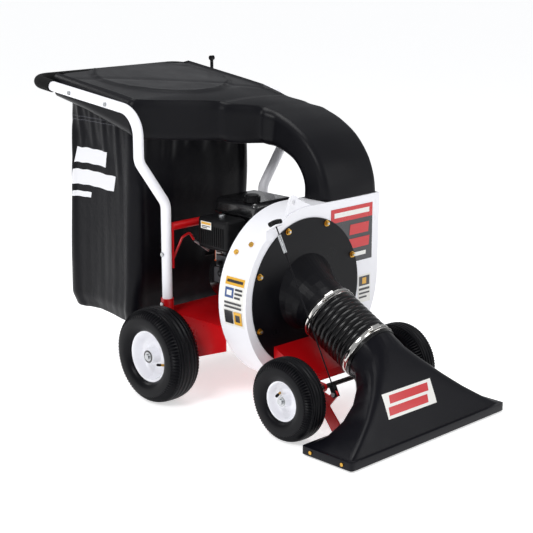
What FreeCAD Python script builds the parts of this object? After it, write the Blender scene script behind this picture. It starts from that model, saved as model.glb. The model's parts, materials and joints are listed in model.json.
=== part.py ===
"""Leaf vacuum mulcher: a wheeled suction machine with a shredding fan, a floor nozzle on a
flexible hose, a discharge hood and a hanging bag.  Millimetres, +X forward to the nozzle,
+Y to the machine's left, +Z up.  Lengths below are measured from the rear axle's centre on
the ground; the last placement moves them to the middle of the machine's footprint."""
import FreeCAD, Part
import math
import os
import Sketcher
from FreeCAD import Placement, Rotation, Vector
from types import SimpleNamespace

SIZES = {
    # wheels and axles
    "rear_tyre_radius": 165, "rear_tyre_width": 125, "rear_flange_radius": 90,
    "rear_rim_width": 82, "rear_wheel_offset": 324,
    "front_tyre_radius": 136, "front_tyre_width": 95, "front_flange_radius": 67,
    "front_rim_width": 62, "front_wheel_offset": 270, "front_axle_x": 576,
    "flange_height": 8, "rim_wall": 3, "hub_radius": 24, "bush_wall": 4, "axle_radius": 8,
    "running_clearance": 0.05, "hub_overhang": 2, "washer_thickness": 3, "cap_length": 7,
    "collar_length": 8,
    # deck and front frame
    "deck_rear_x": -112, "deck_top": 280, "deck_half_width": 209, "sheet_wall": 4,
    "skirt_foot": 34, "front_frame_half_width": 112, "front_frame_top": 222,
    "front_frame_step_x": 500, "front_frame_step_z": 152, "front_frame_lip_x": 548,
    "axle_boss_radius": 15,
    # handle
    "tube_radius": 17.5, "tube_wall": 2.5, "socket_wall": 5, "socket_height": 55,
    "handle_foot_x": -55, "handle_foot_y": 232, "handle_top_y": 345, "handle_flare_low": 668,
    "handle_flare_high": 826, "handle_shoulder_z": 990, "handle_rear_x": -640,
    "handle_rear_z": 1050, "tube_bend_radius": 60, "shoulder_bend_radius": 90,
    "grip_wall": 4.5, "grip_reach": 55, "brace_z": 585, "brace_radius": 14,
    "brace_plate_drop": 145,
    # fan housing
    "fan_y": 46, "fan_z": 382, "housing_back_x": 216, "housing_depth": 129, "scroll_radius": 299,
    "scroll_growth": 17.5, "scroll_y": 60, "scroll_z": 377, "chute_right_y": 147,
    "chute_left_y": 417, "chute_top_z": 676, "tongue_depth": 36, "housing_wall": 5,
    "shaft_opening": 40, "intake_opening": 232, "intake_plate_radius": 256,
    "intake_plate_wall": 4, "stud_circle": 243, "stud_radius": 4, "stud_length": 16,
    "nut_radius": 9, "nut_height": 7,
    # impeller and shaft
    "impeller_radius": 222, "impeller_blades": 4, "blade_wall": 6, "blade_width": 78,
    "impeller_gap": 14, "impeller_hub_radius": 34, "shaft_radius": 12.7,
    # inlet hose and nozzle
    "inlet_tilt": 27.5, "inlet_rise": 2, "neck_radius": 95.5, "neck_wall": 4, "flare_radius": 138,
    "flare_length": 66, "upper_clamp_at": 125, "lower_clamp_at": 317, "cuff_length": 26,
    "hose_wall": 3, "hose_ribs": 8, "hose_crest": 5, "clamp_width": 14, "clamp_wall": 1.4,
    "nozzle_rear_x": 695, "nozzle_front_x": 906, "nozzle_half_width": 382.5,
    "nozzle_lip": 26, "nozzle_clearance": 6, "nozzle_lip_ledge": 13, "nozzle_corner": 24,
    "nozzle_wall": 4, "arm_y": 150, "arm_wall": 6,
    # height adjuster
    "lug_x": 665, "lug_z": 145, "knob_x": 372, "knob_y": -131, "knob_z": 652,
    "knob_radius": 25, "knob_height": 15, "rod_radius": 2.2, "sleeve_radius": 6.5,
    "sleeve_from": 42, "sleeve_length": 62, "pin_radius": 4, "open_pivot_clearance": 0.8,
    # hood and bag
    "hood_wall": 4, "hood_grip_clearance": 0.5, "hood_rear_x": -545, "hood_front_rise": 2,
    "hood_mouth_front_x": -140, "hood_mouth_rim": 12,
    "bag_top": 992, "bag_bottom": 222, "bag_wall": 4,
    # engine
    "engine_rear_x": -34, "engine_front_x": 204, "tank_top": 676, "fuel_cap_radius": 27,
    "shroud_radius": 118, "recoil_radius": 86, "bolt_radius": 4,
    # control cable
    "cable_radius": 3, "cable_gap": 1, "control_back": 425,
    # fasteners
    "brace_bolt_drop": 92, "hood_bolt_front": 150, "hood_bolt_rear": 350,
}


class Size:
    """A length that carries its number and the formula that the document's sheet holds."""

    def __init__(self, value, text=None):
        self.value = float(value)
        self.text = text if text is not None else repr(float(value))

    def _join(self, other, sign, value):
        return Size(value, "(%s %s %s)" % (self.text, sign, size(other).text))

    def __add__(self, other):
        return self._join(other, "+", self.value + float(other))

    def __sub__(self, other):
        return self._join(other, "-", self.value - float(other))

    def __mul__(self, other):
        return self._join(other, "*", self.value * float(other))

    def __truediv__(self, other):
        return self._join(other, "/", self.value / float(other))

    def __neg__(self):
        return Size(-self.value, "(-1 * %s)" % self.text)

    def __radd__(self, other):
        return size(other) + self

    def __rsub__(self, other):
        return size(other) - self

    def __rmul__(self, other):
        return size(other) * self

    def __float__(self):
        return self.value


def size(number):
    """Any number as a Size."""
    return number if isinstance(number, Size) else Size(number)


doc = FreeCAD.newDocument("LeafVacuum")
sheet = doc.addObject("Spreadsheet::Sheet", "Dims")
for row, (alias, number) in enumerate(SIZES.items(), 1):
    sheet.set("A%d" % row, alias)
    sheet.set("B%d" % row, str(number))
    sheet.setAlias("B%d" % row, alias)
doc.recompute()
d = SimpleNamespace(**{alias: Size(sheet.get(alias), "Dims." + alias) for alias in SIZES})

# Places that several pieces share.
HOUSING_FRONT_X = d.housing_back_x + d.housing_depth
NOZZLE_LEFT_Y = d.fan_y + d.nozzle_half_width
OVERALL_REAR_X = d.handle_rear_x - d.tube_radius - d.grip_wall
OVERALL_RIGHT_Y = -d.rear_wheel_offset - d.rear_tyre_width / 2
FRAME_X = (d.nozzle_front_x + OVERALL_REAR_X) / 2
FRAME_Y = (NOZZLE_LEFT_Y + OVERALL_RIGHT_Y) / 2
TO_FRAME = Placement(Vector(-float(FRAME_X), -float(FRAME_Y), 0), Rotation())

HOOD_HALF_WIDTH = d.handle_top_y - d.tube_radius - d.grip_wall - d.hood_grip_clearance

DIAGONAL = math.sqrt(0.5)
ALONG_X = Rotation(Vector(0, 1, 0), 90)
ALONG_Y = Rotation(Vector(1, 0, 0), -90)
ALONG_MINUS_Y = Rotation(Vector(1, 0, 0), 90)
UPRIGHT = Rotation()
INLET_TURN = Rotation(Vector(0, 1, 0), 90 + float(d.inlet_tilt))
INLET_AXIS = INLET_TURN.multVec(Vector(0, 0, 1))

nodes = {}
places = {}


def bind(obj, prop, length):
    """Sets a property from the sheet."""
    obj.setExpression(prop, size(length).text)


def put(obj, x, y, z, turn=UPRIGHT):
    """Stands an object at a point of the machine, bound to the sheet."""
    obj.Placement = Placement(Vector(0, 0, 0), turn)
    places[obj.Name] = (x, y, z)
    for axis, length in zip("xyz", (x, y, z)):
        bind(obj, "Placement.Base." + axis, length)
    return obj


def piece(label, obj):
    """Names a finished piece and moves it to the part's own frame."""
    obj.Label = label
    x, y, z = places.get(obj.Name, (0, 0, 0))
    put(obj, x - FRAME_X, y - FRAME_Y, z, obj.Placement.Rotation)
    nodes[label] = obj
    return obj


def shaped(label, shape):
    """A piece whose free form comes from Part's own functions."""
    obj = doc.addObject("Part::Feature", label)
    obj.Shape = shape
    obj.Placement = TO_FRAME
    obj.Label = label
    nodes[label] = obj
    return obj


def box(x, y, z, length, width, height, turn=UPRIGHT):
    obj = doc.addObject("Part::Box", "box")
    for prop, value in (("Length", length), ("Width", width), ("Height", height)):
        bind(obj, prop, value)
    return put(obj, x, y, z, turn)


def rod(x, y, z, radius, length, turn=UPRIGHT):
    obj = doc.addObject("Part::Cylinder", "cylinder")
    bind(obj, "Radius", radius)
    bind(obj, "Height", length)
    return put(obj, x, y, z, turn)


def hexagon(x, y, z, radius, height, turn=UPRIGHT):
    obj = doc.addObject("Part::Prism", "hexagon")
    obj.Polygon = 6
    bind(obj, "Circumradius", radius)
    bind(obj, "Height", height)
    return put(obj, x, y, z, turn)


def fuse(*parts):
    obj = doc.addObject("Part::MultiFuse", "fusion")
    obj.Shapes = list(parts)
    return obj


def cut(base, *tools):
    obj = doc.addObject("Part::Cut", "cut")
    obj.Base = base
    obj.Tool = tools[0] if len(tools) == 1 else fuse(*tools)
    return obj


def group(*parts):
    """Identical pieces kept as separate solids of one node."""
    obj = doc.addObject("Part::Compound", "group")
    obj.Links = list(parts)
    return obj


def rounded(base, radius, wanted):
    """Rounds the edges of a part that the test picks out."""
    doc.recompute()
    obj = doc.addObject("Part::Fillet", "rounded")
    obj.Base = base
    obj.Edges = [(i, radius, radius) for i, edge in enumerate(base.Shape.Edges, 1) if wanted(edge)]
    return obj


def new_body(name):
    return doc.addObject("PartDesign::Body", name)


def sketch_on(body, role, name):
    """A sketch on one of the body's own origin planes."""
    plane = [part for part in body.Origin.OriginFeatures if part.Role == role][0]
    sketch = body.newObject("Sketcher::SketchObject", name)
    sketch.AttachmentSupport = (plane, [""])
    sketch.MapMode = "FlatFace"
    doc.recompute()
    return sketch


def pin_point(sketch, geometry, end, point):
    """Holds a sketch point at two lengths of the sheet."""
    for kind, length in zip(("DistanceX", "DistanceY"), point):
        number = sketch.addConstraint(
            Sketcher.Constraint(kind, -1, 1, geometry, end, float(length)))
        sketch.setExpression("Constraints[%d]" % number, size(length).text)


def flat(point):
    return Vector(float(point[0]), float(point[1]), 0)


def outline(sketch, start, *legs):
    """A closed outline: a leg of two lengths is straight, one of four is an arc that
    passes through the first pair and ends at the second."""
    here, first, last = start, None, None
    if (flat(legs[-1][-2:]) - flat(start)).Length > 1e-6:
        legs += (start,)
    for leg in legs:
        if len(leg) == 2:
            number = sketch.addGeometry(Part.LineSegment(flat(here), flat(leg)))
            ends = (1, 2)
        else:
            corners = [flat(here), flat(leg[:2]), flat(leg[2:])]
            left_turn = (corners[1] - corners[0]).cross(corners[2] - corners[1]).z > 0
            number = sketch.addGeometry(Part.Arc(*(corners if left_turn else corners[::-1])))
            ends = (1, 2) if left_turn else (2, 1)
            middle = sketch.addGeometry(Part.Point(flat(leg[:2])), True)
            pin_point(sketch, middle, 1, leg[:2])
            sketch.addConstraint(Sketcher.Constraint("PointOnObject", middle, 1, number))
        if last is None:
            first = (number, ends[0])
            pin_point(sketch, *first, start)
        else:
            sketch.addConstraint(Sketcher.Constraint("Coincident", *last, number, ends[0]))
        last = (number, ends[1])
        here = leg[-2:]
        if leg is not legs[-1]:
            pin_point(sketch, *last, here)
    sketch.addConstraint(Sketcher.Constraint("Coincident", *last, *first))


def circle(sketch, x, y, radius):
    number = sketch.addGeometry(Part.Circle(flat((x, y)), Vector(0, 0, 1), float(radius)))
    pin_point(sketch, number, 3, (x, y))
    which = sketch.addConstraint(Sketcher.Constraint("Radius", number, float(radius)))
    sketch.setExpression("Constraints[%d]" % which, size(radius).text)


def pad(body, sketch, length, midplane=False, reverse=False, kind="Pad"):
    feature = body.newObject("PartDesign::" + kind, sketch.Name + "_" + kind.lower())
    feature.Profile = sketch
    bind(feature, "Length", length)
    feature.Midplane = midplane
    feature.Reversed = reverse
    return feature


def revolve(label, *points):
    """A turned piece: an outline of (radius, height) pairs about the body's Z axis."""
    body = new_body(label)
    sketch = sketch_on(body, "XZ_Plane", label + "_profile")
    outline(sketch, *points)
    feature = body.newObject("PartDesign::Revolution", label + "_turned")
    feature.Profile = sketch
    feature.ReferenceAxis = (sketch, ["V_Axis"])
    feature.Angle = 360
    return body


def ring(label, inner, outer, low, high):
    return revolve(label, (inner, low), (outer, low), (outer, high), (inner, high))


def plate(label, role, points, wall, holes=()):
    """A flat plate of the given outline with round holes, its thickness shared evenly."""
    body = new_body(label)
    sketch = sketch_on(body, role, label + "_outline")
    outline(sketch, *points)
    for x, y, radius in holes:
        circle(sketch, x, y, radius)
    pad(body, sketch, wall, midplane=True)
    return body


def rounded_path(points, radii):
    """Straight runs joined by tangent arcs, one radius for each inner point."""
    edges, here = [], points[0]
    for before, corner, after, radius in zip(points, points[1:], points[2:], radii):
        back = (before - corner).normalize()
        ahead = (after - corner).normalize()
        half = back.getAngle(ahead) / 2
        reach = radius / math.tan(half)
        middle = corner + (back + ahead).normalize() * (radius / math.sin(half) - radius)
        start, end = corner + back * reach, corner + ahead * reach
        edges += [Part.LineSegment(here, start).toShape(), Part.Arc(start, middle, end).toShape()]
        here = end
    edges.append(Part.LineSegment(here, points[-1]).toShape())
    return Part.Wire(edges)


def swept(path, radius):
    """A round bar along a path."""
    start = path.Edges[0]
    ring_wire = Part.Wire(Part.makeCircle(radius, start.valueAt(start.FirstParameter),
                                          start.tangentAt(start.FirstParameter)))
    return path.makePipeShell([ring_wire], True, False)


def tube(path, radius, wall):
    return swept(path, radius).cut(swept(path, radius - wall))


def loft(sections):
    """A straight-sided solid through closed point loops."""
    wires = [Part.makePolygon(list(loop) + [loop[0]]) for loop in sections]
    return Part.makeLoft(wires, True, True)


# ---------------------------------------------------------------- wheels and axles
def wheel(name, x, side, radius, width, flange, rim_width, offset):
    """Tyre and rim of one wheel, turned about the axle; +Z of each body points outboard."""
    bead = flange - d.flange_height
    half_rim = rim_width / 2
    wall = d.rim_wall
    turn = ALONG_Y if side > 0 else ALONG_MINUS_Y
    tyre = revolve(
        name + "_tyre",
        (bead, -half_rim), (flange, -half_rim), (flange + 4, -half_rim - 3),
        (radius * 0.5 + flange * 0.55, -width * 0.5, radius - 12, -width * 0.40),
        (radius, 0, radius - 12, width * 0.40),
        (radius * 0.5 + flange * 0.55, width * 0.5, flange + 4, half_rim + 3),
        (flange, half_rim), (bead, half_rim))
    bore = d.axle_radius + d.bush_wall + d.running_clearance
    hub_half = half_rim
    inner = bead - wall
    rim = revolve(
        name + "_rim",
        (bore, -hub_half), (d.hub_radius, -hub_half), (d.hub_radius, half_rim * 0.18),
        (inner, half_rim * 0.42), (inner, -half_rim - wall), (flange, -half_rim - wall),
        (flange, -half_rim), (bead, -half_rim), (bead, half_rim), (flange, half_rim),
        (flange, half_rim + wall), (inner, half_rim + wall), (inner, half_rim * 0.42 + wall),
        (d.hub_radius, half_rim * 0.18 + wall), (d.hub_radius, hub_half), (bore, hub_half))
    for body in (tyre, rim):
        put(body, x, offset * side, radius, turn)
        piece(body.Label, body)


REAR = (d.rear_tyre_radius, d.rear_tyre_width, d.rear_flange_radius, d.rear_rim_width,
        d.rear_wheel_offset)
FRONT = (d.front_tyre_radius, d.front_tyre_width, d.front_flange_radius, d.front_rim_width,
         d.front_wheel_offset)
for axle_name, axle_x, numbers in (("rear", size(0), REAR), ("front", d.front_axle_x, FRONT)):
    for side_name, side in (("right", -1), ("left", 1)):
        wheel("%s_%s" % (axle_name, side_name), axle_x, side, *numbers)

bushes, caps = [], []
for axle_name, axle_x, numbers in (("rear", size(0), REAR), ("front", d.front_axle_x, FRONT)):
    radius, width, flange, rim_width, offset = numbers
    half_hub = rim_width / 2 + d.hub_overhang
    bar_half = offset + half_hub + d.washer_thickness
    bar = rod(axle_x, -bar_half, radius, d.axle_radius, bar_half * 2, ALONG_Y)
    piece(axle_name + "_axle", bar)
    for side, turn in ((-1, ALONG_MINUS_Y), (1, ALONG_Y)):
        inner_y = (offset - half_hub) * side
        bushes.append(cut(
            rod(axle_x, inner_y, radius, d.axle_radius + d.bush_wall, half_hub * 2, turn),
            rod(axle_x, inner_y, radius, d.axle_radius, half_hub * 2, turn)))
        collar_y = (offset - half_hub - d.collar_length) * side
        caps.append(cut(
            rod(axle_x, collar_y, radius, d.axle_radius + 7, d.collar_length, turn),
            rod(axle_x, collar_y, radius, d.axle_radius, d.collar_length, turn)))
        washer_y = (offset + half_hub) * side
        cap = fuse(
            rod(axle_x, washer_y, radius, d.axle_radius + 8, d.washer_thickness, turn),
            rod(axle_x, washer_y, radius, d.axle_radius + 1.5,
                d.washer_thickness + d.cap_length, turn))
        caps.append(cut(cap, rod(axle_x, washer_y, radius, d.axle_radius,
                                 d.washer_thickness, turn)))
piece("axle_bushes", group(*bushes))
piece("axle_caps", group(*caps))


# ---------------------------------------------------------------- deck and front frame
def deck():
    """Folded steel deck with two skirts that carry the rear axle, and a socket for each
    handle leg."""
    body = new_body("deck_sheet")
    x0, x1, top = d.deck_rear_x, d.housing_back_x, d.deck_top
    foot = d.rear_tyre_radius - d.skirt_foot

    def skirt(low, inset, name):
        sketch = sketch_on(body, "XZ_Plane", name)
        outline(sketch, (x0, top - low), (x1, top - low), (x1, top - 84 + inset),
                (size(64), foot + 10 - inset), (size(-44), foot - inset),
                (x0, top - 64 - inset))
        return sketch

    pad(body, skirt(0, 0, "skirt_outline"), d.deck_half_width * 2, midplane=True)
    hollow = sketch_on(body, "XZ_Plane", "hollow_outline")
    low = foot - 40
    outline(hollow, (x0 - 10, top - d.sheet_wall), (x1 + 10, top - d.sheet_wall),
            (x1 + 10, low), (x0 - 10, low))
    pad(body, hollow, (d.deck_half_width - d.sheet_wall) * 2, midplane=True, kind="Pocket")
    holes = sketch_on(body, "XZ_Plane", "axle_hole")
    circle(holes, size(0), d.rear_tyre_radius, d.axle_radius + d.running_clearance)
    pad(body, holes, d.deck_half_width * 2 + 10, midplane=True, kind="Pocket")
    outer = d.tube_radius + d.socket_wall
    base_z = d.deck_top - 22
    sockets, bores = [], []
    for side in (-1, 1):
        y = d.handle_foot_y * side
        inner_y = d.deck_half_width if side > 0 else -d.handle_foot_y
        sockets += [rod(d.handle_foot_x, y, base_z, outer, d.socket_height + 22),
                    box(d.handle_foot_x - 16, inner_y, base_z, 32,
                        d.handle_foot_y - d.deck_half_width, 22)]
        bores.append(rod(d.handle_foot_x, y, d.deck_top - 10,
                         d.tube_radius + d.running_clearance, d.socket_height + 20))
        bores.append(rod(d.handle_foot_x, (d.handle_foot_y + outer + 2) * side,
                         d.deck_top + d.socket_height - 18, d.bolt_radius + 0.1, 24,
                         ALONG_Y if side < 0 else ALONG_MINUS_Y))
    put(body, 0, 0, 0)
    return cut(fuse(body, *sockets), *bores)


piece("deck", deck())


def front_frame():
    """Sloping bracket on the intake plate that carries the front axle: a top sheet with two
    side plates that run on to the axle."""
    x0, x1 = HOUSING_FRONT_X + d.intake_plate_wall, d.front_axle_x
    axle_z = d.front_tyre_radius
    boss = d.axle_boss_radius
    half, wall = d.front_frame_half_width, d.sheet_wall
    body = new_body("bracket_sheet")
    side = sketch_on(body, "XZ_Plane", "bracket_side")
    outline(side, (x0, d.front_frame_top), (d.front_frame_step_x, d.front_frame_step_z),
            (x1, axle_z + boss), (x1 + boss * DIAGONAL, axle_z + boss * DIAGONAL,
                                  x1 + boss, axle_z),
            (x1 + boss * DIAGONAL, axle_z - boss * DIAGONAL, x1, axle_z - boss),
            (x0, axle_z - boss - 14))
    pad(body, side, half * 2, midplane=True)
    hollow = sketch_on(body, "XZ_Plane", "bracket_hollow")
    outline(hollow, (x0 - 10, d.front_frame_top - wall * 2),
            (x0, d.front_frame_top - wall * 2),
            (d.front_frame_step_x, d.front_frame_step_z - wall),
            (d.front_frame_lip_x, d.front_frame_step_z - wall),
            (d.front_frame_lip_x, d.front_frame_top), (x1 + boss * 2, d.front_frame_top),
            (x1 + boss * 2, axle_z - boss * 3), (x0 - 10, axle_z - boss * 3))
    pad(body, hollow, (half - wall) * 2, midplane=True, kind="Pocket")
    hole = sketch_on(body, "XZ_Plane", "bracket_axle_hole")
    circle(hole, x1, axle_z, d.axle_radius + d.running_clearance)
    pad(body, hole, half * 2 + 10, midplane=True, kind="Pocket")
    return put(body, 0, 0, 0)


piece("front_frame", front_frame())


# ---------------------------------------------------------------- handle
def handle_points(side):
    """Corner points of one handle leg, from its socket to the middle of the rear bar."""
    foot_x, top_y = float(d.handle_foot_x), float(d.handle_top_y) * side
    foot_y = float(d.handle_foot_y) * side
    rear_x, rear_z = float(d.handle_rear_x), float(d.handle_rear_z)
    return [Vector(foot_x, foot_y, float(d.deck_top) - 10),
            Vector(foot_x, foot_y, float(d.handle_flare_low)),
            Vector(foot_x, top_y, float(d.handle_flare_high)),
            Vector(foot_x, top_y, float(d.handle_shoulder_z)),
            Vector(rear_x, top_y, rear_z),
            Vector(rear_x, top_y - 80 * side, rear_z)]


BEND = float(d.tube_bend_radius)

bar_half = d.handle_top_y - 80
piece("handle_crossbar", cut(
    rod(d.handle_rear_x, -bar_half, d.handle_rear_z, d.tube_radius, bar_half * 2, ALONG_Y),
    rod(d.handle_rear_x, -bar_half, d.handle_rear_z, d.tube_radius - d.tube_wall,
        bar_half * 2, ALONG_Y)))


def foam_grip():
    """Foam sleeve over the rear bar and both of its corners."""
    rear, top_y = float(d.handle_rear_x), float(d.handle_top_y)
    rise = (float(d.handle_shoulder_z) - float(d.handle_rear_z)) / (
        float(d.handle_foot_x) - rear)
    reach = BEND + float(d.grip_reach)
    corners = [Vector(rear, -top_y, float(d.handle_rear_z)),
               Vector(rear, top_y, float(d.handle_rear_z))]
    ends = [corner + Vector(reach, 0, reach * rise) for corner in corners]
    path = rounded_path([ends[0], corners[0], corners[1], ends[1]], [BEND, BEND])
    outer = float(d.tube_radius + d.grip_wall)
    return swept(path, outer).cut(swept(path, float(d.tube_radius)))


shaped("foam_grip", foam_grip())


def brace():
    """Red cross bar between the handle legs with an end plate on each, and a bent hook rod."""
    inner = d.handle_foot_y - d.tube_radius
    x, z = d.handle_foot_x, d.brace_z
    parts = [rod(x, -inner, z, d.brace_radius, inner * 2, ALONG_Y)]
    for side in (-1, 1):
        y = (inner - 6) * side if side > 0 else -inner
        parts.append(box(x - 13, y, z - d.brace_plate_drop, 26, 6,
                         d.brace_plate_drop + d.brace_radius))
    hook_radius = 4.5
    near_y, at_x, at_z = -float(inner) + 4, float(x), float(z)
    hook = rounded_path([Vector(at_x, near_y, at_z - 128), Vector(at_x, near_y + 50, at_z - 46),
                         Vector(at_x, near_y + 84, at_z - 34),
                         Vector(at_x, near_y + 104, at_z - 62)], [12, 12])
    bent = doc.addObject("Part::Feature", "hook_rod")
    bent.Shape = swept(hook, hook_radius)
    parts.append(bent)
    return fuse(*parts)


piece("handle_brace", brace())
STAY_START = Vector(float(d.handle_foot_x), -float(d.handle_foot_y - d.tube_radius) + 110,
                    float(d.brace_z) - 66)
STAY_END = Vector(float(d.engine_rear_x) - 2, STAY_START.y + 50, STAY_START.z - 42)
shaped("stay_rod", swept(Part.Wire(Part.LineSegment(STAY_START, STAY_END).toShape()), 4))


def bolt_places():
    """Where each cross bolt meets its tube's outer side: foot, brace and the hood's two,
    with the shank's length under the head."""
    slope = (d.handle_rear_z - d.handle_shoulder_z) / (d.handle_foot_x - d.handle_rear_x)
    to_hood = d.handle_top_y + d.tube_radius - HOOD_HALF_WIDTH + d.hood_wall + 4
    found = []
    for side in (-1, 1):
        foot = d.handle_foot_y + d.tube_radius
        found.append((d.handle_foot_x, foot + d.socket_wall, side,
                      d.deck_top + d.socket_height - 18, 14 + d.socket_wall))
        found.append((d.handle_foot_x, foot, side, d.brace_z - d.brace_bolt_drop, 14))
        for back in (d.hood_bolt_front, d.hood_bolt_rear):
            found.append((d.handle_foot_x - back, d.handle_top_y + d.tube_radius, side,
                          d.handle_shoulder_z + slope * back, to_hood))
    return found


def handle_bolts():
    """Cross bolts of the sockets, of the brace plates and of the hood's side rails."""
    bolts = []
    for x, y, side, z, length in bolt_places():
        inward = ALONG_Y if side < 0 else ALONG_MINUS_Y
        outward = ALONG_MINUS_Y if side < 0 else ALONG_Y
        bolts.append(fuse(
            hexagon(x, y * side, z, d.bolt_radius * 1.9, d.bolt_radius * 1.3, outward),
            rod(x, y * side, z, d.bolt_radius, length, inward)))
    return group(*bolts)


def bolt_holes(shape):
    """Cuts the cross bolts' holes in a free-form shape."""
    for x, y, side, z, length in bolt_places():
        at = Vector(float(x), float(y) * side, float(z))
        shape = shape.cut(Part.makeCylinder(float(d.bolt_radius) + 0.1, float(length) + 2, at,
                                            Vector(0, -side, 0)))
    return shape


for side_name, side in (("right", -1), ("left", 1)):
    leg = rounded_path(handle_points(side),
                       [BEND, BEND, float(d.shoulder_bend_radius), BEND])
    shaped("handle_" + side_name,
           bolt_holes(tube(leg, float(d.tube_radius), float(d.tube_wall))))


# ---------------------------------------------------------------- fan housing
def scroll(inset):
    """Legs of the spiral wall from the top of the drum to the chute's left side."""
    radius = d.scroll_radius - inset
    y1, z1, grow = d.scroll_y, d.scroll_z, d.scroll_growth
    y2, z3 = y1 + grow, z1 + grow
    middle, low = radius + grow, radius + grow * 2
    return [(y1, z1 + radius),
            (y1 - radius * DIAGONAL, z1 + radius * DIAGONAL, y1 - radius, z1),
            (y2 - middle * DIAGONAL, z1 - middle * DIAGONAL, y2, z1 - middle),
            (y2 + low * DIAGONAL, z3 - low * DIAGONAL, y2 + low, z3)]


def back_along(legs):
    """The same legs walked from their end to their start."""
    points = [leg[-2:] for leg in legs]
    middles = [leg[:2] for leg in legs[1:]]
    walked = [points[-1]]
    for number in range(len(legs) - 2, -1, -1):
        walked.append(tuple(middles[number]) + tuple(points[number]))
    return walked


def housing_wrapper():
    """Spiral side wall with the chute's two cheeks, and the lifting lug on its crown."""
    wall = d.housing_wall
    top = d.chute_top_z
    outer, inner = scroll(0), scroll(wall)
    body = new_body("wrapper_band")
    sketch = sketch_on(body, "YZ_Plane", "wrapper_outline")
    outline(sketch, (d.chute_right_y, top), *outer, (d.chute_left_y, top),
            (d.chute_left_y - wall, top), *back_along(inner),
            (d.chute_right_y - wall, top - wall),
            (d.chute_right_y - wall, top - d.tongue_depth),
            (d.chute_right_y, top - d.tongue_depth))
    pad(body, sketch, d.housing_depth - wall * 2)
    put(body, d.housing_back_x + wall, 0, 0)
    lug = new_body("lug_plate")
    shape = sketch_on(lug, "YZ_Plane", "lug_outline")
    y, z = d.fan_y - 56, d.scroll_z + d.scroll_radius
    foot = d.scroll_radius * 0.035
    outline(shape, (y - 36, z - foot - 8), (y - 20, z + 30), (y, z + 46, y + 20, z + 30),
            (y + 88, z - 2), (y + 88, z - 8))
    circle(shape, y, z + 24, 9)
    pad(lug, shape, 8)
    put(lug, HOUSING_FRONT_X - wall - 8, 0, 0)
    return fuse(body, lug)


piece("housing_wrapper", housing_wrapper())


def housing_plate(label, x, hole_radius):
    """One side plate of the fan housing with its round opening."""
    wall = d.housing_wall
    body = new_body(label + "_sheet")
    sketch = sketch_on(body, "YZ_Plane", label + "_outline")
    outline(sketch, (d.chute_right_y, d.chute_top_z), *scroll(0),
            (d.chute_left_y, d.chute_top_z))
    circle(sketch, d.fan_y, d.fan_z, hole_radius)
    pad(body, sketch, wall)
    put(body, x, 0, 0)
    piece(label, body)


housing_plate("housing_back_plate", d.housing_back_x, d.shaft_opening)
housing_plate("housing_front_plate", HOUSING_FRONT_X - d.housing_wall, d.intake_opening)


def on_circle(radius, count, first):
    """Evenly spaced (y, z) points about the fan's axis."""
    for number in range(count):
        angle = math.radians(first + number * 360 / count)
        yield (d.fan_y + radius * math.cos(angle), d.fan_z + radius * math.sin(angle))


def housing_bolts():
    """Two round-head bolts in the drum's side and the drain plug under it."""
    bolts = []
    for angle in (146, 139):
        turn = Rotation(Vector(1, 0, 0), angle - 90)
        reach = d.scroll_radius
        y = d.scroll_y + reach * math.cos(math.radians(angle))
        z = d.scroll_z + reach * math.sin(math.radians(angle))
        x = d.housing_back_x + (34 if angle > 140 else 82)
        bolts.append(rod(x, y, z, d.bolt_radius * 2.2, 5, turn))
    low = d.scroll_z - d.scroll_radius - d.scroll_growth
    bolts.append(hexagon(d.housing_back_x + 60, d.scroll_y + d.scroll_growth, low - 12,
                         9, 12))
    return group(*bolts)


piece("housing_bolts", housing_bolts())


# ---------------------------------------------------------------- intake plate and studs
def intake_plate():
    """Round cover with a flared neck that slopes down to the hose."""
    x0 = float(HOUSING_FRONT_X)
    centre = Vector(x0, float(d.fan_y), float(d.fan_z))
    inlet = centre + Vector(0, 0, float(d.inlet_rise))
    forward = Vector(1, 0, 0)
    wall = float(d.neck_wall)
    neck_end = float(d.upper_clamp_at + d.cuff_length / 2)

    flare_end = float(d.flare_length) * 1.25

    def neck(grow, before, after):
        rings = []
        for lean in (0, 0.25, 0.5, 0.75, 1):
            radius = float(d.neck_radius + (d.flare_radius - d.neck_radius) * (1 - lean) ** 2)
            normal = (forward * (1 - lean) + INLET_AXIS * lean).normalize()
            at = centre + (inlet - centre + INLET_AXIS * flare_end) * lean + forward * (
                before * (1 - lean))
            side = Vector(0, 1, 0)
            up = normal.cross(side).normalize()
            rings.append([at + (side * math.cos(angle) + up * math.sin(angle)) * (radius + grow)
                          for angle in (2 * math.pi * n / 48 for n in range(48))])
        end = Part.makeCylinder(float(d.neck_radius) + grow, neck_end + after - flare_end + 1,
                                inlet + INLET_AXIS * (flare_end - 1), INLET_AXIS)
        return loft(rings).fuse(end)

    disc = Part.makeCylinder(float(d.intake_plate_radius), float(d.intake_plate_wall), centre,
                             forward)
    shape = disc.fuse(neck(0, 0, 0)).cut(neck(-wall, -1, 1))
    for y, z in on_circle(d.stud_circle, 8, 22.5):
        shape = shape.cut(Part.makeCylinder(float(d.stud_radius) + 0.5, 10,
                                            Vector(x0 - 2, float(y), float(z)), forward))
    return shape


shaped("intake_plate", intake_plate())

studs, nuts = [], []
stud_x = HOUSING_FRONT_X
for y, z in on_circle(d.stud_circle, 8, 22.5):
    studs.append(rod(stud_x, y, z, d.stud_radius, d.stud_length, ALONG_X))
    nut = fuse(hexagon(stud_x + d.intake_plate_wall + 1.6, y, z, d.nut_radius, d.nut_height,
                       ALONG_X),
               rod(stud_x + d.intake_plate_wall, y, z, d.nut_radius + 2, 1.6, ALONG_X))
    nuts.append(cut(nut, rod(stud_x, y, z, d.stud_radius, d.stud_length + 10, ALONG_X)))
piece("intake_studs", group(*studs))
piece("intake_nuts", group(*nuts))


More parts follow.
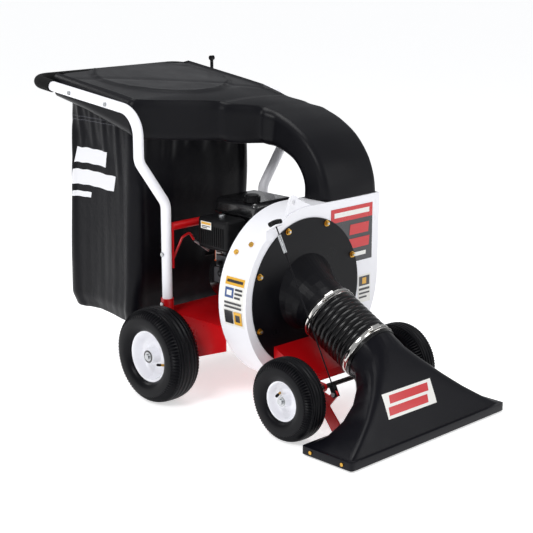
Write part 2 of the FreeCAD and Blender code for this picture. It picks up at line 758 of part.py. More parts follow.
# ---------------------------------------------------------------- impeller and shaft
def impeller():
    """Back disc, hub and straight blades with raked shredding tips."""
    x0 = d.housing_back_x + d.housing_wall + d.impeller_gap
    disc = rod(x0, d.fan_y, d.fan_z, d.impeller_radius, 6, ALONG_X)
    hub = rod(x0, d.fan_y, d.fan_z, d.impeller_hub_radius, 60, ALONG_X)
    parts = [disc, hub]
    for number in range(int(float(d.impeller_blades))):
        turn = Rotation(Vector(1, 0, 0), number * 360 / float(d.impeller_blades) + 20)
        root = float(d.impeller_hub_radius) - 4
        offset = turn.multVec(Vector(0, -float(d.blade_wall) / 2, root))
        parts.append(box(x0, d.fan_y + offset.y, d.fan_z + offset.z, d.blade_width + 6,
                         d.blade_wall, d.impeller_radius - 4 - root, turn))
    return cut(fuse(*parts), rod(x0 - 5, d.fan_y, d.fan_z, d.shaft_radius, 90, ALONG_X))


piece("impeller", impeller())
SHAFT_END_X = d.housing_back_x + d.housing_wall + d.impeller_gap + 60
piece("crankshaft", rod(d.engine_rear_x + 40, d.fan_y, d.fan_z, d.shaft_radius,
                        SHAFT_END_X - d.engine_rear_x - 40, ALONG_X))
piece("impeller_bolt", fuse(
    rod(SHAFT_END_X, d.fan_y, d.fan_z, d.impeller_hub_radius - 8, 4, ALONG_X),
    hexagon(SHAFT_END_X + 4, d.fan_y, d.fan_z, 11, 8, ALONG_X)))


# ---------------------------------------------------------------- hose and clamps
def inlet_point(along):
    """A point of the inlet's sloping axis, as three sizes."""
    cos = math.cos(math.radians(float(d.inlet_tilt)))
    sin = math.sin(math.radians(float(d.inlet_tilt)))
    return HOUSING_FRONT_X + along * cos, d.fan_y, d.fan_z + d.inlet_rise - along * sin


def hose():
    """Corrugated hose with a plain cuff at each end, turned about its own axis."""
    inner = d.neck_radius + 0.3
    cuff = inner + d.hose_wall
    low, high = d.upper_clamp_at - d.cuff_length / 2, d.lower_clamp_at + d.cuff_length / 2
    start, end = low + d.cuff_length, high - d.cuff_length
    pitch = (end - start) / d.hose_ribs
    outside, inside = [], []
    for number in range(int(float(d.hose_ribs))):
        at = start + pitch * number
        outside += [(cuff - 3, at + pitch * 0.16), (cuff + d.hose_crest - 3, at + pitch * 0.38),
                    (cuff + d.hose_crest - 3, at + pitch * 0.62), (cuff - 3, at + pitch * 0.84)]
    for radius, height in outside:
        inside.append((radius - d.hose_wall, height))
    return revolve("hose", (inner, low), (cuff, low), (cuff, start), *outside, (cuff, end),
                   (cuff, high), (inner, high), (inner, end), *reversed(inside),
                   (inner, start))


piece("hose", put(hose(), *inlet_point(size(0)), INLET_TURN))


def clamp(label, along):
    """Steel band with its worm-screw housing on the upper right side."""
    inner = d.neck_radius + 0.3 + d.hose_wall + 0.2
    band = ring(label + "_band", inner, inner + d.clamp_wall, along - d.clamp_width / 2,
                along + d.clamp_width / 2)
    put(band, *inlet_point(size(0)), INLET_TURN)
    base = Vector(*[float(v) for v in inlet_point(along)])
    out = (INLET_TURN.multVec(Vector(-1, 0, 0)) + Vector(0, -1.2, 0)).normalize()
    across = INLET_AXIS.cross(out)
    top = base + out * (float(inner + d.clamp_wall) + 5)
    half = float(d.clamp_width) / 2 + 2
    corner = base + out * (float(inner) + 0.7) - INLET_AXIS * half - across * 18
    block = Part.makePolygon([corner, corner + across * 36,
                              corner + across * 36 + INLET_AXIS * half * 2,
                              corner + INLET_AXIS * half * 2, corner])
    housing = Part.Face(block).extrude(out * 9)
    screw = Part.makeCylinder(4.2, 44, top - across * 24 + out * 4, across)
    screw = screw.fuse(Part.makeCylinder(6.5, 6, top - across * 28 + out * 4, across))
    shape = housing.fuse(screw).cut(Part.makeCylinder(
        float(inner) + 0.6, 60, base - INLET_AXIS * 30, INLET_AXIS))
    lock = doc.addObject("Part::Feature", label + "_lock")
    lock.Shape = shape
    piece(label, fuse(band, lock))


clamp("clamp_upper", d.upper_clamp_at)
clamp("clamp_lower", d.lower_clamp_at)


# ---------------------------------------------------------------- nozzle
def nozzle():
    """Wide floor nozzle: a thick lip round the mouth, rising and drawing in to the neck."""
    low, lip = float(d.nozzle_clearance), float(d.nozzle_lip)
    x0, x1 = float(d.nozzle_rear_x), float(d.nozzle_front_x)
    y, half = float(d.fan_y), float(d.nozzle_half_width)
    ledge, wall = float(d.nozzle_lip_ledge), float(d.nozzle_wall)
    neck_radius = float(d.neck_radius)
    neck_at = float(d.lower_clamp_at + d.cuff_length / 2) + 8
    start = Vector(*[float(v) for v in inlet_point(size(neck_at))])
    count = 32

    def loop(centre, normal, half_y, half_x, power, draw=0.0):
        """A ring from round to square, in a plane that leans with the neck; its rear half
        is drawn forward at the flanks, clear of the tyres."""
        side = Vector(0, 1, 0)
        front = side.cross(normal).normalize()
        points = []
        for number in range(count):
            angle = 2 * math.pi * (number + 0.5) / count
            c, s = math.cos(angle), math.sin(angle)
            across = abs(c) ** (2 / power)
            along = abs(s) ** (2 / power)
            if s > 0:
                along = -(along * (1 - draw) + (1 - across ** 2) * draw)
            points.append(centre + side * (math.copysign(across, c) * half_y)
                          - front * (along * half_x))
        return points

    def body(inset):
        """Stations from the neck to the lip."""
        end = Vector((x0 + x1) / 2, y, low + lip)
        loops = []
        for t in (0, 0.18, 0.36, 0.54, 0.72, 0.88, 1):
            centre = start + (end - start) * t
            normal = (INLET_AXIS * (1 - t) + Vector(0, 0, -1) * t).normalize()
            grow = t ** 1.9
            half_y = neck_radius + (half - ledge - neck_radius) * grow - inset
            half_x = neck_radius + ((x1 - x0) / 2 - ledge - neck_radius) * t ** 1.4 - inset
            draw = math.sin(math.pi * min(1, t / 0.95) ** 0.8) ** 0.5 if t < 1 else 0.0
            loops.append(loop(centre, normal, half_y, half_x, 2 + 22 * t ** 2, draw))
        return loops

    def lip_loop(z, inset, power=40):
        centre = Vector((x0 + x1) / 2, y, z)
        return loop(centre, Vector(0, 0, -1), half - inset, (x1 - x0) / 2 - inset, power)

    outer = loft(body(0)).fuse(loft([lip_loop(low + lip, 0), lip_loop(low, 0)]))
    sleeve = neck_at - float(d.lower_clamp_at) + float(d.cuff_length) / 2
    neck = Part.makeCylinder(neck_radius, sleeve + 1, start - INLET_AXIS * sleeve, INLET_AXIS)
    throat = Part.makeCylinder(neck_radius - wall, sleeve + 3,
                               start - INLET_AXIS * (sleeve + 1), INLET_AXIS)
    inner = loft(body(wall))
    mouth = loft([lip_loop(low + lip + 0.01, ledge + wall), lip_loop(low - 2, ledge + wall)])
    return outer.fuse(neck).cut(inner.fuse(throat).fuse(mouth)).removeSplitter()


shaped("nozzle", nozzle())


def nozzle_arms():
    """Two red arms that hang from the front axle and hold the nozzle's rear lip."""
    axle_x, axle_z = d.front_axle_x, d.front_tyre_radius
    rear = d.nozzle_rear_x
    lip_z = d.nozzle_clearance + d.nozzle_lip
    boss = d.axle_boss_radius
    arms = []
    for side in (-1, 1):
        upper = [(axle_x, axle_z + boss),
                 (axle_x + boss * DIAGONAL, axle_z + boss * DIAGONAL)]
        if side < 0:
            upper += [(d.lug_x - 26, d.lug_z - 12), (d.lug_x - 9, d.lug_z + 7),
                      (d.lug_x + 11 * DIAGONAL, d.lug_z + 11 * DIAGONAL,
                       d.lug_x + 5, d.lug_z - 10),
                      (d.lug_x - 24, d.lug_z - 46)]
        upper += [(axle_x + 66, axle_z - 40), (rear - 14, lip_z + 22), (rear, lip_z - 3)]
        holes = [(axle_x, axle_z, d.axle_radius + d.running_clearance)]
        if side < 0:
            holes.append((d.lug_x, d.lug_z, d.pin_radius))
        arm = plate("arm_" + ("right" if side < 0 else "left"), "XZ_Plane",
                    upper + [(rear, lip_z - 20), (rear - 40, lip_z - 18),
                             (axle_x - boss * DIAGONAL, axle_z - boss * DIAGONAL),
                             (axle_x - boss, axle_z, axle_x, axle_z + boss)],
                    d.arm_wall, holes)
        arms.append(put(arm, 0, d.arm_y * side, 0))
    strap = box(rear - d.arm_wall, -d.arm_y - 12, lip_z - 20, d.arm_wall, d.arm_y * 2 + 24,
                17)
    return fuse(strap, *arms)


piece("nozzle_arms", nozzle_arms())


def nozzle_bolts():
    """Round heads along the lip's two ends and its rear edge."""
    heads = []
    z = d.nozzle_clearance + d.nozzle_lip / 2
    for side, turn in ((-1, ALONG_MINUS_Y), (1, ALONG_Y)):
        for x in (d.nozzle_rear_x + 40, d.nozzle_front_x - 40):
            heads.append(rod(x, d.fan_y + d.nozzle_half_width * side, z, 6, 3, turn))
    return group(*heads)


# ---------------------------------------------------------------- height adjuster
KNOB = Vector(float(d.knob_x), float(d.knob_y), float(d.knob_z))
LUG = Vector(float(d.lug_x), -float(d.arm_y), float(d.lug_z))
ROD_UP = (KNOB - LUG).normalize()
ROD_TURN = Rotation(Vector(0, 0, 1), ROD_UP)


def knob():
    """Lobed hand knob with a through bore for the rod's end."""
    height, radius = float(d.knob_height), float(d.knob_radius)
    disc = Part.makeCylinder(radius - 5, height, Vector(0, 0, -height / 2))
    for number in range(7):
        angle = 2 * math.pi * number / 7
        disc = disc.fuse(Part.makeCylinder(7, height, Vector(
            (radius - 7) * math.cos(angle), (radius - 7) * math.sin(angle), -height / 2)))
    bore = Part.makeCylinder(float(d.rod_radius) + 1.2, height + 2,
                             Vector(0, 0, -height / 2 - 1))
    disc = disc.removeSplitter()
    disc.Placement = bore.Placement = Placement(KNOB, ROD_TURN)
    return disc.cut(bore)


def adjuster_bracket():
    """Folded bracket on the housing's front plate with a hole for the rod."""
    wall = 4.0
    width = 34.0
    seat = KNOB - ROD_UP * (float(d.knob_height) / 2 + 1.5)
    out = Vector(ROD_UP.z, 0, -ROD_UP.x).normalize()
    x0 = float(HOUSING_FRONT_X)
    tab_reach = (seat.x - x0) / out.x
    tab = Part.makeBox(tab_reach + 18, width, wall, Vector(-tab_reach, -width / 2, -wall))
    tab.Placement = Placement(seat, Rotation(out, Vector(0, 1, 0), Vector(), "XZY"))
    join = seat.z - tab_reach * out.z
    foot = Part.makeBox(wall, width, 36, Vector(x0, seat.y - width / 2, join - 37))
    hole = Part.makeCylinder(float(d.rod_radius) + 1.2, 40, seat - ROD_UP * 20, ROD_UP)
    keep = Part.makeBox(200, 400, 400, Vector(x0, seat.y - 200, seat.z - 200))
    return tab.fuse(foot).common(keep).cut(hole)


def adjuster_rod():
    """Lifting rod with the fork that straddles the arm's lug."""
    length = (KNOB - LUG).Length
    fork_gap = float(d.arm_wall) / 2 + 1
    ear = 4
    start = 17
    stem = Part.makeCylinder(float(d.rod_radius), length - start - 10, LUG + ROD_UP * start,
                             ROD_UP)
    fork = Part.makeBox(18, fork_gap * 2 + ear * 2, 16 + start + 6,
                        Vector(-9, -fork_gap - ear, -10))
    fork = fork.cut(Part.makeBox(30, fork_gap * 2, 10 + start, Vector(-15, -fork_gap, -10)))
    pin_hole = Part.makeCylinder(float(d.pin_radius + d.open_pivot_clearance), 60,
                                 Vector(0, -30, 0), Vector(0, 1, 0))
    fork = fork.cut(pin_hole)
    fork.Placement = Placement(LUG, Rotation(Vector(), Vector(0, 1, 0), ROD_UP, "ZYX"))
    return fork.fuse(stem)


shaped("adjuster_knob", knob())
shaped("adjuster_bracket", adjuster_bracket())
shaped("adjuster_rod", adjuster_rod())
sleeve_at = KNOB - ROD_UP * float(d.sleeve_from + d.sleeve_length)
sleeve_shape = Part.makeCylinder(float(d.sleeve_radius), float(d.sleeve_length), sleeve_at, ROD_UP)
shaped("adjuster_sleeve", sleeve_shape.cut(Part.makeCylinder(
    float(d.rod_radius) + 0.1, float(d.sleeve_length) + 2, sleeve_at - ROD_UP, ROD_UP)))
pin_half = d.arm_wall / 2 + 8
piece("clevis_pin", fuse(
    rod(d.lug_x, -d.arm_y - pin_half, d.lug_z, d.pin_radius, pin_half * 2, ALONG_Y),
    rod(d.lug_x, -d.arm_y - pin_half - 3, d.lug_z, d.pin_radius + 3, 3, ALONG_Y)))
piece("nozzle_bolts", nozzle_bolts())


# ---------------------------------------------------------------- hood
def hood_sections(inset, spread):
    """Stations of the discharge hood from the chute's mouth to its rear edge.  Each is
    (low point, high point, right edge, left edge) in the machine's own lengths."""
    back, front = float(d.housing_back_x), float(HOUSING_FRONT_X)
    top = float(d.chute_top_z) + float(d.hood_front_rise)
    right, left = float(d.chute_right_y), float(d.chute_left_y)
    half, rear = float(HOOD_HALF_WIDTH), float(d.hood_rear_x)
    stations = [((back, top), (front, top), right, left),
                ((back, top + 46), (front - 12, top + 52), right, left),
                ((back - 19, top + 84), (front - 42, top + 122), right, left),
                ((back - 50, top + 118), (front - 100, top + 190), right, left),
                ((back - 90, top + 138), (front - 172, top + 238), right, left),
                ((back - 140, top + 153), (front - 240, top + 270), right, left),
                ((46, top + 162), (50, top + 289), right - 6, left - 40),
                ((-26, top + 176), (-24, top + 314), -55, half),
                ((-127, top + 214), (-124, top + 348), -half, half),
                ((-300, top + 262), (-300, top + 374), -half, half),
                ((rear, top + 318), (rear, top + 404), -half, half)]
    loops = []
    for number, (low, high, right_y, left_y) in enumerate(stations):
        low, high = Vector(low[0], 0, low[1]), Vector(high[0], 0, high[1])
        up = (high - low).normalize()
        a, b = low + up * inset, high - up * inset
        r, l, c = right_y + inset, left_y - inset, spread
        loops.append([Vector(a.x, r + c, a.z), Vector(a.x, l - c, a.z),
                      Vector(*(a + up * c)) + Vector(0, l, 0),
                      Vector(*(b - up * c)) + Vector(0, l, 0), Vector(b.x, l - c, b.z),
                      Vector(b.x, r + c, b.z), Vector(*(b - up * c)) + Vector(0, r, 0),
                      Vector(*(a + up * c)) + Vector(0, r, 0)])
    return loops


def hood():
    """Moulded hood: a curved duct over the chute that widens over the bag's open top."""
    wall = float(d.hood_wall)
    outer = loft(hood_sections(0, 16))
    sections = hood_sections(wall, 14)
    first, last = sections[0], sections[-1]
    sections[0] = [point - Vector(0, 0, 1) for point in first]
    inner = loft(sections[:-1] + [[point + Vector(wall, 0, 0) for point in last]])
    half = float(HOOD_HALF_WIDTH - d.hood_mouth_rim)
    front, rear = float(d.hood_mouth_front_x), float(d.hood_rear_x + d.hood_mouth_rim)
    low, high = float(d.chute_top_z) + 150, float(d.chute_top_z) + 280
    lift = (front - rear) * 0.2
    mouth = [Vector(front, -half, low), Vector(front, -half, high),
             Vector(rear, -half, high + lift), Vector(rear, -half, low)]
    mouth = loft([mouth, [point + Vector(0, half * 2, 0) for point in mouth]])
    return outer.cut(inner).cut(mouth)


shaped("hood", bolt_holes(hood()))


# ---------------------------------------------------------------- bag
def bag():
    """Hanging debris bag with an open top, slightly fuller towards its foot."""
    top, bottom, wall = float(d.bag_top), float(d.bag_bottom), float(d.bag_wall)
    rear, front = float(d.hood_rear_x) + 16, float(d.hood_mouth_front_x) - 10
    half = float(HOOD_HALF_WIDTH) - 37

    def loops(inset, lift):
        shape = []
        for t, back, ahead, right, left in ((0, 0, 0, 0, 0), (0.35, 30, 14, 8, 10),
                                            (0.75, 46, 0, 11, 10), (0.93, 50, -22, 10, 6),
                                            (1, 40, -40, -6, -10)):
            z = top + (bottom - top) * t + (lift if t == 1 else 0)
            c = 40 - inset * 0.5
            x0, x1 = rear - back + inset, front + ahead - inset
            y0, y1 = -half - right + inset, half - 24 + left - inset
            shape.append([Vector(x0 + c, y0, z), Vector(x1 - c, y0, z), Vector(x1, y0 + c, z),
                          Vector(x1, y1 - c, z), Vector(x1 - c, y1, z), Vector(x0 + c, y1, z),
                          Vector(x0, y1 - c, z), Vector(x0, y0 + c, z)])
        return shape

    inner = loops(wall, wall)
    inner[0] = [point + Vector(0, 0, 1) for point in inner[0]]
    return loft(loops(0, 0)).cut(loft(inner))


shaped("bag", bag())
piece("handle_bolts", handle_bolts())


# ---------------------------------------------------------------- engine
def engine_block():
    """Crankcase on its feet, the finned barrel and head leaning to the left, and the
    shaft's front boss."""
    base, y, z = d.deck_top, d.fan_y, d.fan_z
    x0, x1 = d.engine_rear_x + 86, d.engine_front_x - 20
    parts = [box(x0, y - 66, base + 6, x1 - x0, 132, 176),
             box(x0 - 4, y - 84, base, x1 - x0 + 8, 168, 10),
             rod(x1, y, z, 58, 20, ALONG_X),
             box(x0 + 18, y + 40, z + 20, x1 - x0 - 36, 78, 74)]
    for number in range(6):
        parts.append(box(x0 + 8, y + 62 + number * 11, z + 14, x1 - x0 - 16, 4, 92))
    return cut(fuse(*parts), rod(x0 - 20, y, z, d.shaft_radius + 0.1, x1 - x0 + 60, ALONG_X))


SWITCH = (d.engine_rear_x + 4, d.fan_y - 74, d.fan_z + 126)


def engine_shroud():
    """Pressed blower shroud at the engine's rear with the pull-start cover on it."""
    x0, y, z = d.engine_rear_x, d.fan_y, d.fan_z
    drum = rod(x0, y, z + 8, d.shroud_radius - 16, 80, ALONG_X)
    hood_box = box(x0 + 12, y - 84, z, 68, 168, 130)
    cover = rod(x0 - 16, y, z, d.recoil_radius, 16, ALONG_X)
    hollow = rod(x0 + 3, y, z + 8, d.shroud_radius - 24, 78, ALONG_X)
    switch_box = box(*SWITCH, 20, 30, 34)
    return cut(fuse(drum, hood_box, cover, switch_box), hollow)


def fuel_tank():
    x0, y0 = d.engine_rear_x + 24, d.fan_y - 98
    base = box(x0, y0, d.tank_top - 84, d.engine_front_x - x0 - 8, 196, 84)
    tank = rounded(base, 20, lambda edge: edge.Length > 60)
    return tank


def air_cleaner():
    """Ribbed filter box on the engine's right."""
    x0, y0, z0 = d.engine_rear_x + 48, d.fan_y - 196, d.fan_z + 134
    base = box(x0, y0, z0, 150, 92, 108)
    cover = rounded(base, 12, lambda edge: edge.Length > 40)
    neck = box(x0 + 40, d.fan_y - 104, z0 + 8, 66, 30, 50)
    return fuse(cover, neck)


def muffler():
    """Flat silencer box on the left with its outlet stub."""
    x0, y0, z0 = d.engine_rear_x + 60, d.fan_y + 128, d.fan_z + 110
    base = rounded(box(x0, y0, z0, 128, 44, 84), 14, lambda edge: edge.Length > 40)
    return fuse(base, rod(x0 + 100, y0 + 44, z0 + 30, 13, 18, ALONG_Y))


def carburettor():
    x0, y0, z0 = d.engine_rear_x + 92, d.fan_y - 150, d.fan_z + 66
    return fuse(box(x0, y0, z0, 52, 84, 40),
                rod(x0 + 26, y0 + 36, z0 - 22, 20, 22),
                rod(x0 + 26, y0 + 20, z0 + 40, 9, 28))


piece("engine_block", engine_block())
piece("engine_shroud", engine_shroud())
piece("fuel_tank", fuel_tank())
CAP = (d.engine_front_x - 54, d.fan_y - 66)
piece("fuel_cap", fuse(rod(*CAP, d.tank_top, d.fuel_cap_radius, 18),
                       rod(*CAP, d.tank_top + 18, d.fuel_cap_radius - 5, 6)))
piece("air_cleaner", air_cleaner())
piece("muffler", muffler())
piece("carburettor", carburettor())
piece("spark_plug", fuse(
    rod(d.engine_rear_x + 120, d.fan_y + 121, d.fan_z + 46, 9, 30, ALONG_Y),
    rod(d.engine_rear_x + 120, d.fan_y + 151, d.fan_z + 46, 12, 22, ALONG_Y)))

RECOIL = (d.engine_rear_x - 22, d.fan_y - 70, d.fan_z + 72)
piece("recoil_grip", rounded(box(RECOIL[0] - 12, RECOIL[1] - 34, RECOIL[2], 18, 68, 14), 5,
                             lambda edge: edge.Length > 60))

LEVER = (d.engine_rear_x + 118, d.fan_y - 158, d.fan_z + 44)
piece("throttle_lever", cut(
    fuse(rod(LEVER[0], LEVER[1], LEVER[2], 12, 5, ALONG_Y),
         box(LEVER[0] - 4, LEVER[1], LEVER[2] + 6, 8, 4, 34),
         box(LEVER[0] - 7, LEVER[1] - 12, LEVER[2] + 34, 14, 16, 12)),
    rod(LEVER[0], LEVER[1] - 5, LEVER[2], 4 + d.running_clearance, 15, ALONG_Y)))
piece("throttle_plate", fuse(
    box(LEVER[0] - 34, LEVER[1] + 5.5, LEVER[2] - 34, 80, 4, 52),
    box(LEVER[0] - 34, LEVER[1] + 5.5, LEVER[2] - 34, 80, d.fan_y - 66 - LEVER[1] - 5.5, 4),
    rod(LEVER[0], LEVER[1] - 2, LEVER[2], 4, 9, ALONG_Y)))

piece("stop_switch", rod(SWITCH[0] - 7, SWITCH[1] + 15, SWITCH[2] + 17, 8, 6.5, ALONG_X))


def engine_bolts():
    bolts = []
    for x in (d.engine_rear_x + 94, d.engine_front_x - 28):
        for side in (-1, 1):
            bolts.append(hexagon(x, d.fan_y + side * 76, d.deck_top + 10, 8, 6))
    return group(*bolts)


piece("engine_bolts", engine_bolts())


# ---------------------------------------------------------------- handle control and cable
def on_top_run(back):
    """The centre of the left handle's top run, this far behind the leg."""
    slope = (d.handle_rear_z - d.handle_shoulder_z) / (d.handle_foot_x - d.handle_rear_x)
    return d.handle_foot_x - back, d.handle_shoulder_z + slope * back


lever_x, lever_z = on_top_run(d.control_back)
outer_y = d.handle_top_y + d.tube_radius
tab_drop = d.tube_radius + d.cable_radius * 2 + d.cable_gap + 6
piece("control_bracket", fuse(
    box(lever_x - 16, outer_y + 0.2, lever_z - tab_drop, 32, 5, tab_drop + 14),
    box(lever_x + 12, outer_y - 26, lever_z - tab_drop, 4, 30, tab_drop - d.tube_radius - 2),
    rod(lever_x, outer_y + 5.2, lever_z, 5, 12, ALONG_Y)))
piece("control_lever", cut(
    fuse(rod(lever_x, outer_y + 6, lever_z, 13, 8, ALONG_Y),
         box(lever_x - 6, outer_y + 6, lever_z + 4, 12, 6, 50),
         rod(lever_x, outer_y + 1, lever_z + 58, 9, 16, ALONG_Y)),
    rod(lever_x, outer_y, lever_z, 5.05, 30, ALONG_Y)))


def control_cable():
    """Outer cable that runs under the left handle's top run, behind its leg and across to
    the engine's shroud."""
    off = float(d.tube_radius + d.cable_radius + d.cable_gap)
    inner_bend = float(d.shoulder_bend_radius) - off
    corners = handle_points(1)[1:4]
    low, flare, shoulder = [corner - Vector(off, 0, 0) for corner in corners]
    start = [float(v) for v in on_top_run(d.control_back - 17)]
    slope = (float(d.handle_rear_z) - shoulder.z) / (corners[2].x - float(d.handle_rear_x))
    rise = off * math.sqrt(1 + slope ** 2)
    top = Vector(shoulder.x, shoulder.y, shoulder.z + off * slope - rise)
    first = Vector(start[0], shoulder.y, start[1] - rise)
    entry = Vector(float(d.engine_rear_x) + 44, float(d.fan_y) + 84, float(d.fan_z) + 88)
    points = [first, top, flare, low, low - Vector(0, 0, 110),
              Vector(low.x, low.y - 30, entry.z + 30), Vector(entry.x, low.y - 34, entry.z),
              entry]
    path = rounded_path(points, [inner_bend, BEND, BEND, 60, 40, 32])
    print("cable length", round(path.Length))
    return swept(path, float(d.cable_radius))


shaped("control_cable", control_cable())

# ---------------------------------------------------------------- checks and files
doc.recompute()
for obj in doc.Objects:
    if {"Invalid", "Error"} & set(obj.State):
        raise RuntimeError("%s (%s) is %s" % (obj.Name, obj.Label, obj.State))
for label, obj in nodes.items():
    if obj.Shape.isNull() or not obj.Shape.isValid() or not obj.Shape.Solids:
        raise RuntimeError("piece %s has no valid solid" % label)
os.makedirs("parts", exist_ok=True)
for label, obj in nodes.items():
    obj.Shape.exportStep("parts/%s.step" % label)
print(len(nodes), "pieces")
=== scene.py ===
"""Leaf vacuum mulcher, finished: painted steel, moulded plastic, rubber and coated fabric over
the machine's own frame.  Metres, +X forward to the nozzle, +Y to its left, +Z up."""
import json
import math
import random

import bmesh
import bpy
from mathutils import Matrix, Vector
from mathutils.bvhtree import BVHTree


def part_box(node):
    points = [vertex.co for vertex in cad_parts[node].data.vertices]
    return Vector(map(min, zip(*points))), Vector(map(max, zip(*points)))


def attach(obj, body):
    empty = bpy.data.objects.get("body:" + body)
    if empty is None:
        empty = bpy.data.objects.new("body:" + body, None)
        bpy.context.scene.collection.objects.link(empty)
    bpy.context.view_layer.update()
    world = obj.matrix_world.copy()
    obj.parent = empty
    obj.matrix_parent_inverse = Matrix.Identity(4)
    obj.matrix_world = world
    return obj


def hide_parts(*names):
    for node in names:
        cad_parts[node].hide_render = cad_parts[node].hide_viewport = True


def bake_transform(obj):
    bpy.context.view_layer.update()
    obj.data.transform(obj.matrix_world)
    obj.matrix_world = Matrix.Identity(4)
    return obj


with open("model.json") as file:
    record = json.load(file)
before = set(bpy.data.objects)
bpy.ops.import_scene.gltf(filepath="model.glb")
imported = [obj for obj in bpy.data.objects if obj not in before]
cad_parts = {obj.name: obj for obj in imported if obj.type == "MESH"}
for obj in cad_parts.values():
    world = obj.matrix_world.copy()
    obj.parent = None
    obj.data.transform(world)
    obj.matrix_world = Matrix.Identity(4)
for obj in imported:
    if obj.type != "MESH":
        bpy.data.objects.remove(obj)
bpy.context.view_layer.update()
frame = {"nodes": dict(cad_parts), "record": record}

bl_info = {
    "name": "Leaf vacuum mulcher finish",
    "version": (1, 0, 0),
    "blender": (4, 5, 0),
    "location": "3D View > Sidebar > Mulcher",
    "description": "Finished look of a walk-behind leaf vacuum mulcher",
    "category": "Object",
}

MM = 0.001
NODES = frame["nodes"]
SLOT_OF = {part["node"]: part["material_slot"] for part in frame["record"]["subparts"]}
HOME = {node: body for body, members in frame["record"]["behaviour"]["bodies"].items()
        for node in members}
WHEELS = ("rear_right", "rear_left", "front_right", "front_left")


def middle(node):
    low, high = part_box(node)
    return (Vector(low) + Vector(high)) / 2


def span(node):
    low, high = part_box(node)
    return Vector(high) - Vector(low)


def ends(node):
    """The low and the high corner of a node's box."""
    low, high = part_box(node)
    return Vector(low), Vector(high)


HOUSING_LOW, HOUSING_HIGH = ends("housing_wrapper")
PLATE_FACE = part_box("housing_front_plate")[1][0]
HOSE_TOP, HOSE_END = middle("clamp_upper"), middle("clamp_lower")
HOSE_AXIS = (HOSE_END - HOSE_TOP).normalized()


# ------------------------------------------------------------------ settings
def colour_of(text):
    """An sRGB hex colour as linear red, green, blue and alpha."""
    parts = [int(text[i:i + 2], 16) / 255 for i in (0, 2, 4)]
    return [c / 12.92 if c <= 0.04045 else ((c + 0.055) / 1.055) ** 2.4 for c in parts] + [1.0]


def colour_setting(name, description, text):
    return bpy.props.FloatVectorProperty(name=name, description=description, size=4,
                                         subtype="COLOR", min=0.0, max=1.0,
                                         default=colour_of(text))


def length_setting(name, description, millimetres):
    return bpy.props.FloatProperty(name=name, description=description, unit="LENGTH",
                                   default=millimetres * MM)


class MulcherColours(bpy.types.PropertyGroup):
    """Colours of the machine's finishes."""
    white: colour_setting("White paint", "Powder coat of the handle and fan housing", "F3F3F8")
    red: colour_setting("Red paint", "Powder coat of the deck and brackets", "C4060F")
    hood: colour_setting("Hood", "Moulded polyethylene of the hood", "0F0F13")
    nozzle: colour_setting("Nozzle", "Moulded polyethylene of the nozzle", "0D0D13")
    fabric: colour_setting("Bag", "Coated fabric of the bag", "0A0A0F")
    rubber: colour_setting("Tyres", "Tyre rubber", "0A0A0E")
    label_red: colour_setting("Label red", "Red ink of the labels", "C8161E")
    label_gold: colour_setting("Label gold", "Amber ink of the labels", "E0A92C")


class MulcherSizes(bpy.types.PropertyGroup):
    """Sizes of the details that the finish adds."""
    tread_depth: length_setting("Tread depth", "Depth of the tyre's grooves", 4.6)
    shoulder_teeth: bpy.props.IntProperty(name="Shoulder teeth", default=84, min=8,
                                          description="Saw-tooth blocks round a tyre's shoulder")
    hose_ribs: bpy.props.IntProperty(name="Hose ribs", default=8, min=2,
                                     description="Convolutions between the two clamps")
    bag_swell: length_setting("Bag movement", "Furthest the cloth may move from its pattern", 20)
    bag_cell: length_setting("Bag mesh", "Distance between the cloth's points", 11)
    hood_wall: length_setting("Hood wall", "Thickness of the moulded hood", 4)
    ring_height: length_setting("Hood ring", "Rise of the round panel on the hood's top", 7)
    sky: bpy.props.FloatProperty(name="Sky light", description="Strength of the soft light",
                                 default=0.44, min=0.0)
    lens: bpy.props.FloatProperty(name="Lens", description="Focal length in millimetres",
                                  default=91.7, min=1.0)


def sizes():
    return bpy.context.scene.mulcher_sizes


def colours():
    return bpy.context.scene.mulcher_colours


# ------------------------------------------------------------------ materials
def add(tree, kind, links=(), **settings):
    """Adds a node.  links holds (input, value or socket) pairs, settings its own fields."""
    made = tree.nodes.new(kind)
    for name, value in settings.items():
        setattr(made, name, value)
    for where, value in links:
        socket = made.inputs[where]
        if isinstance(value, bpy.types.NodeSocket):
            tree.links.new(value, socket)
        else:
            socket.default_value = value
    return made


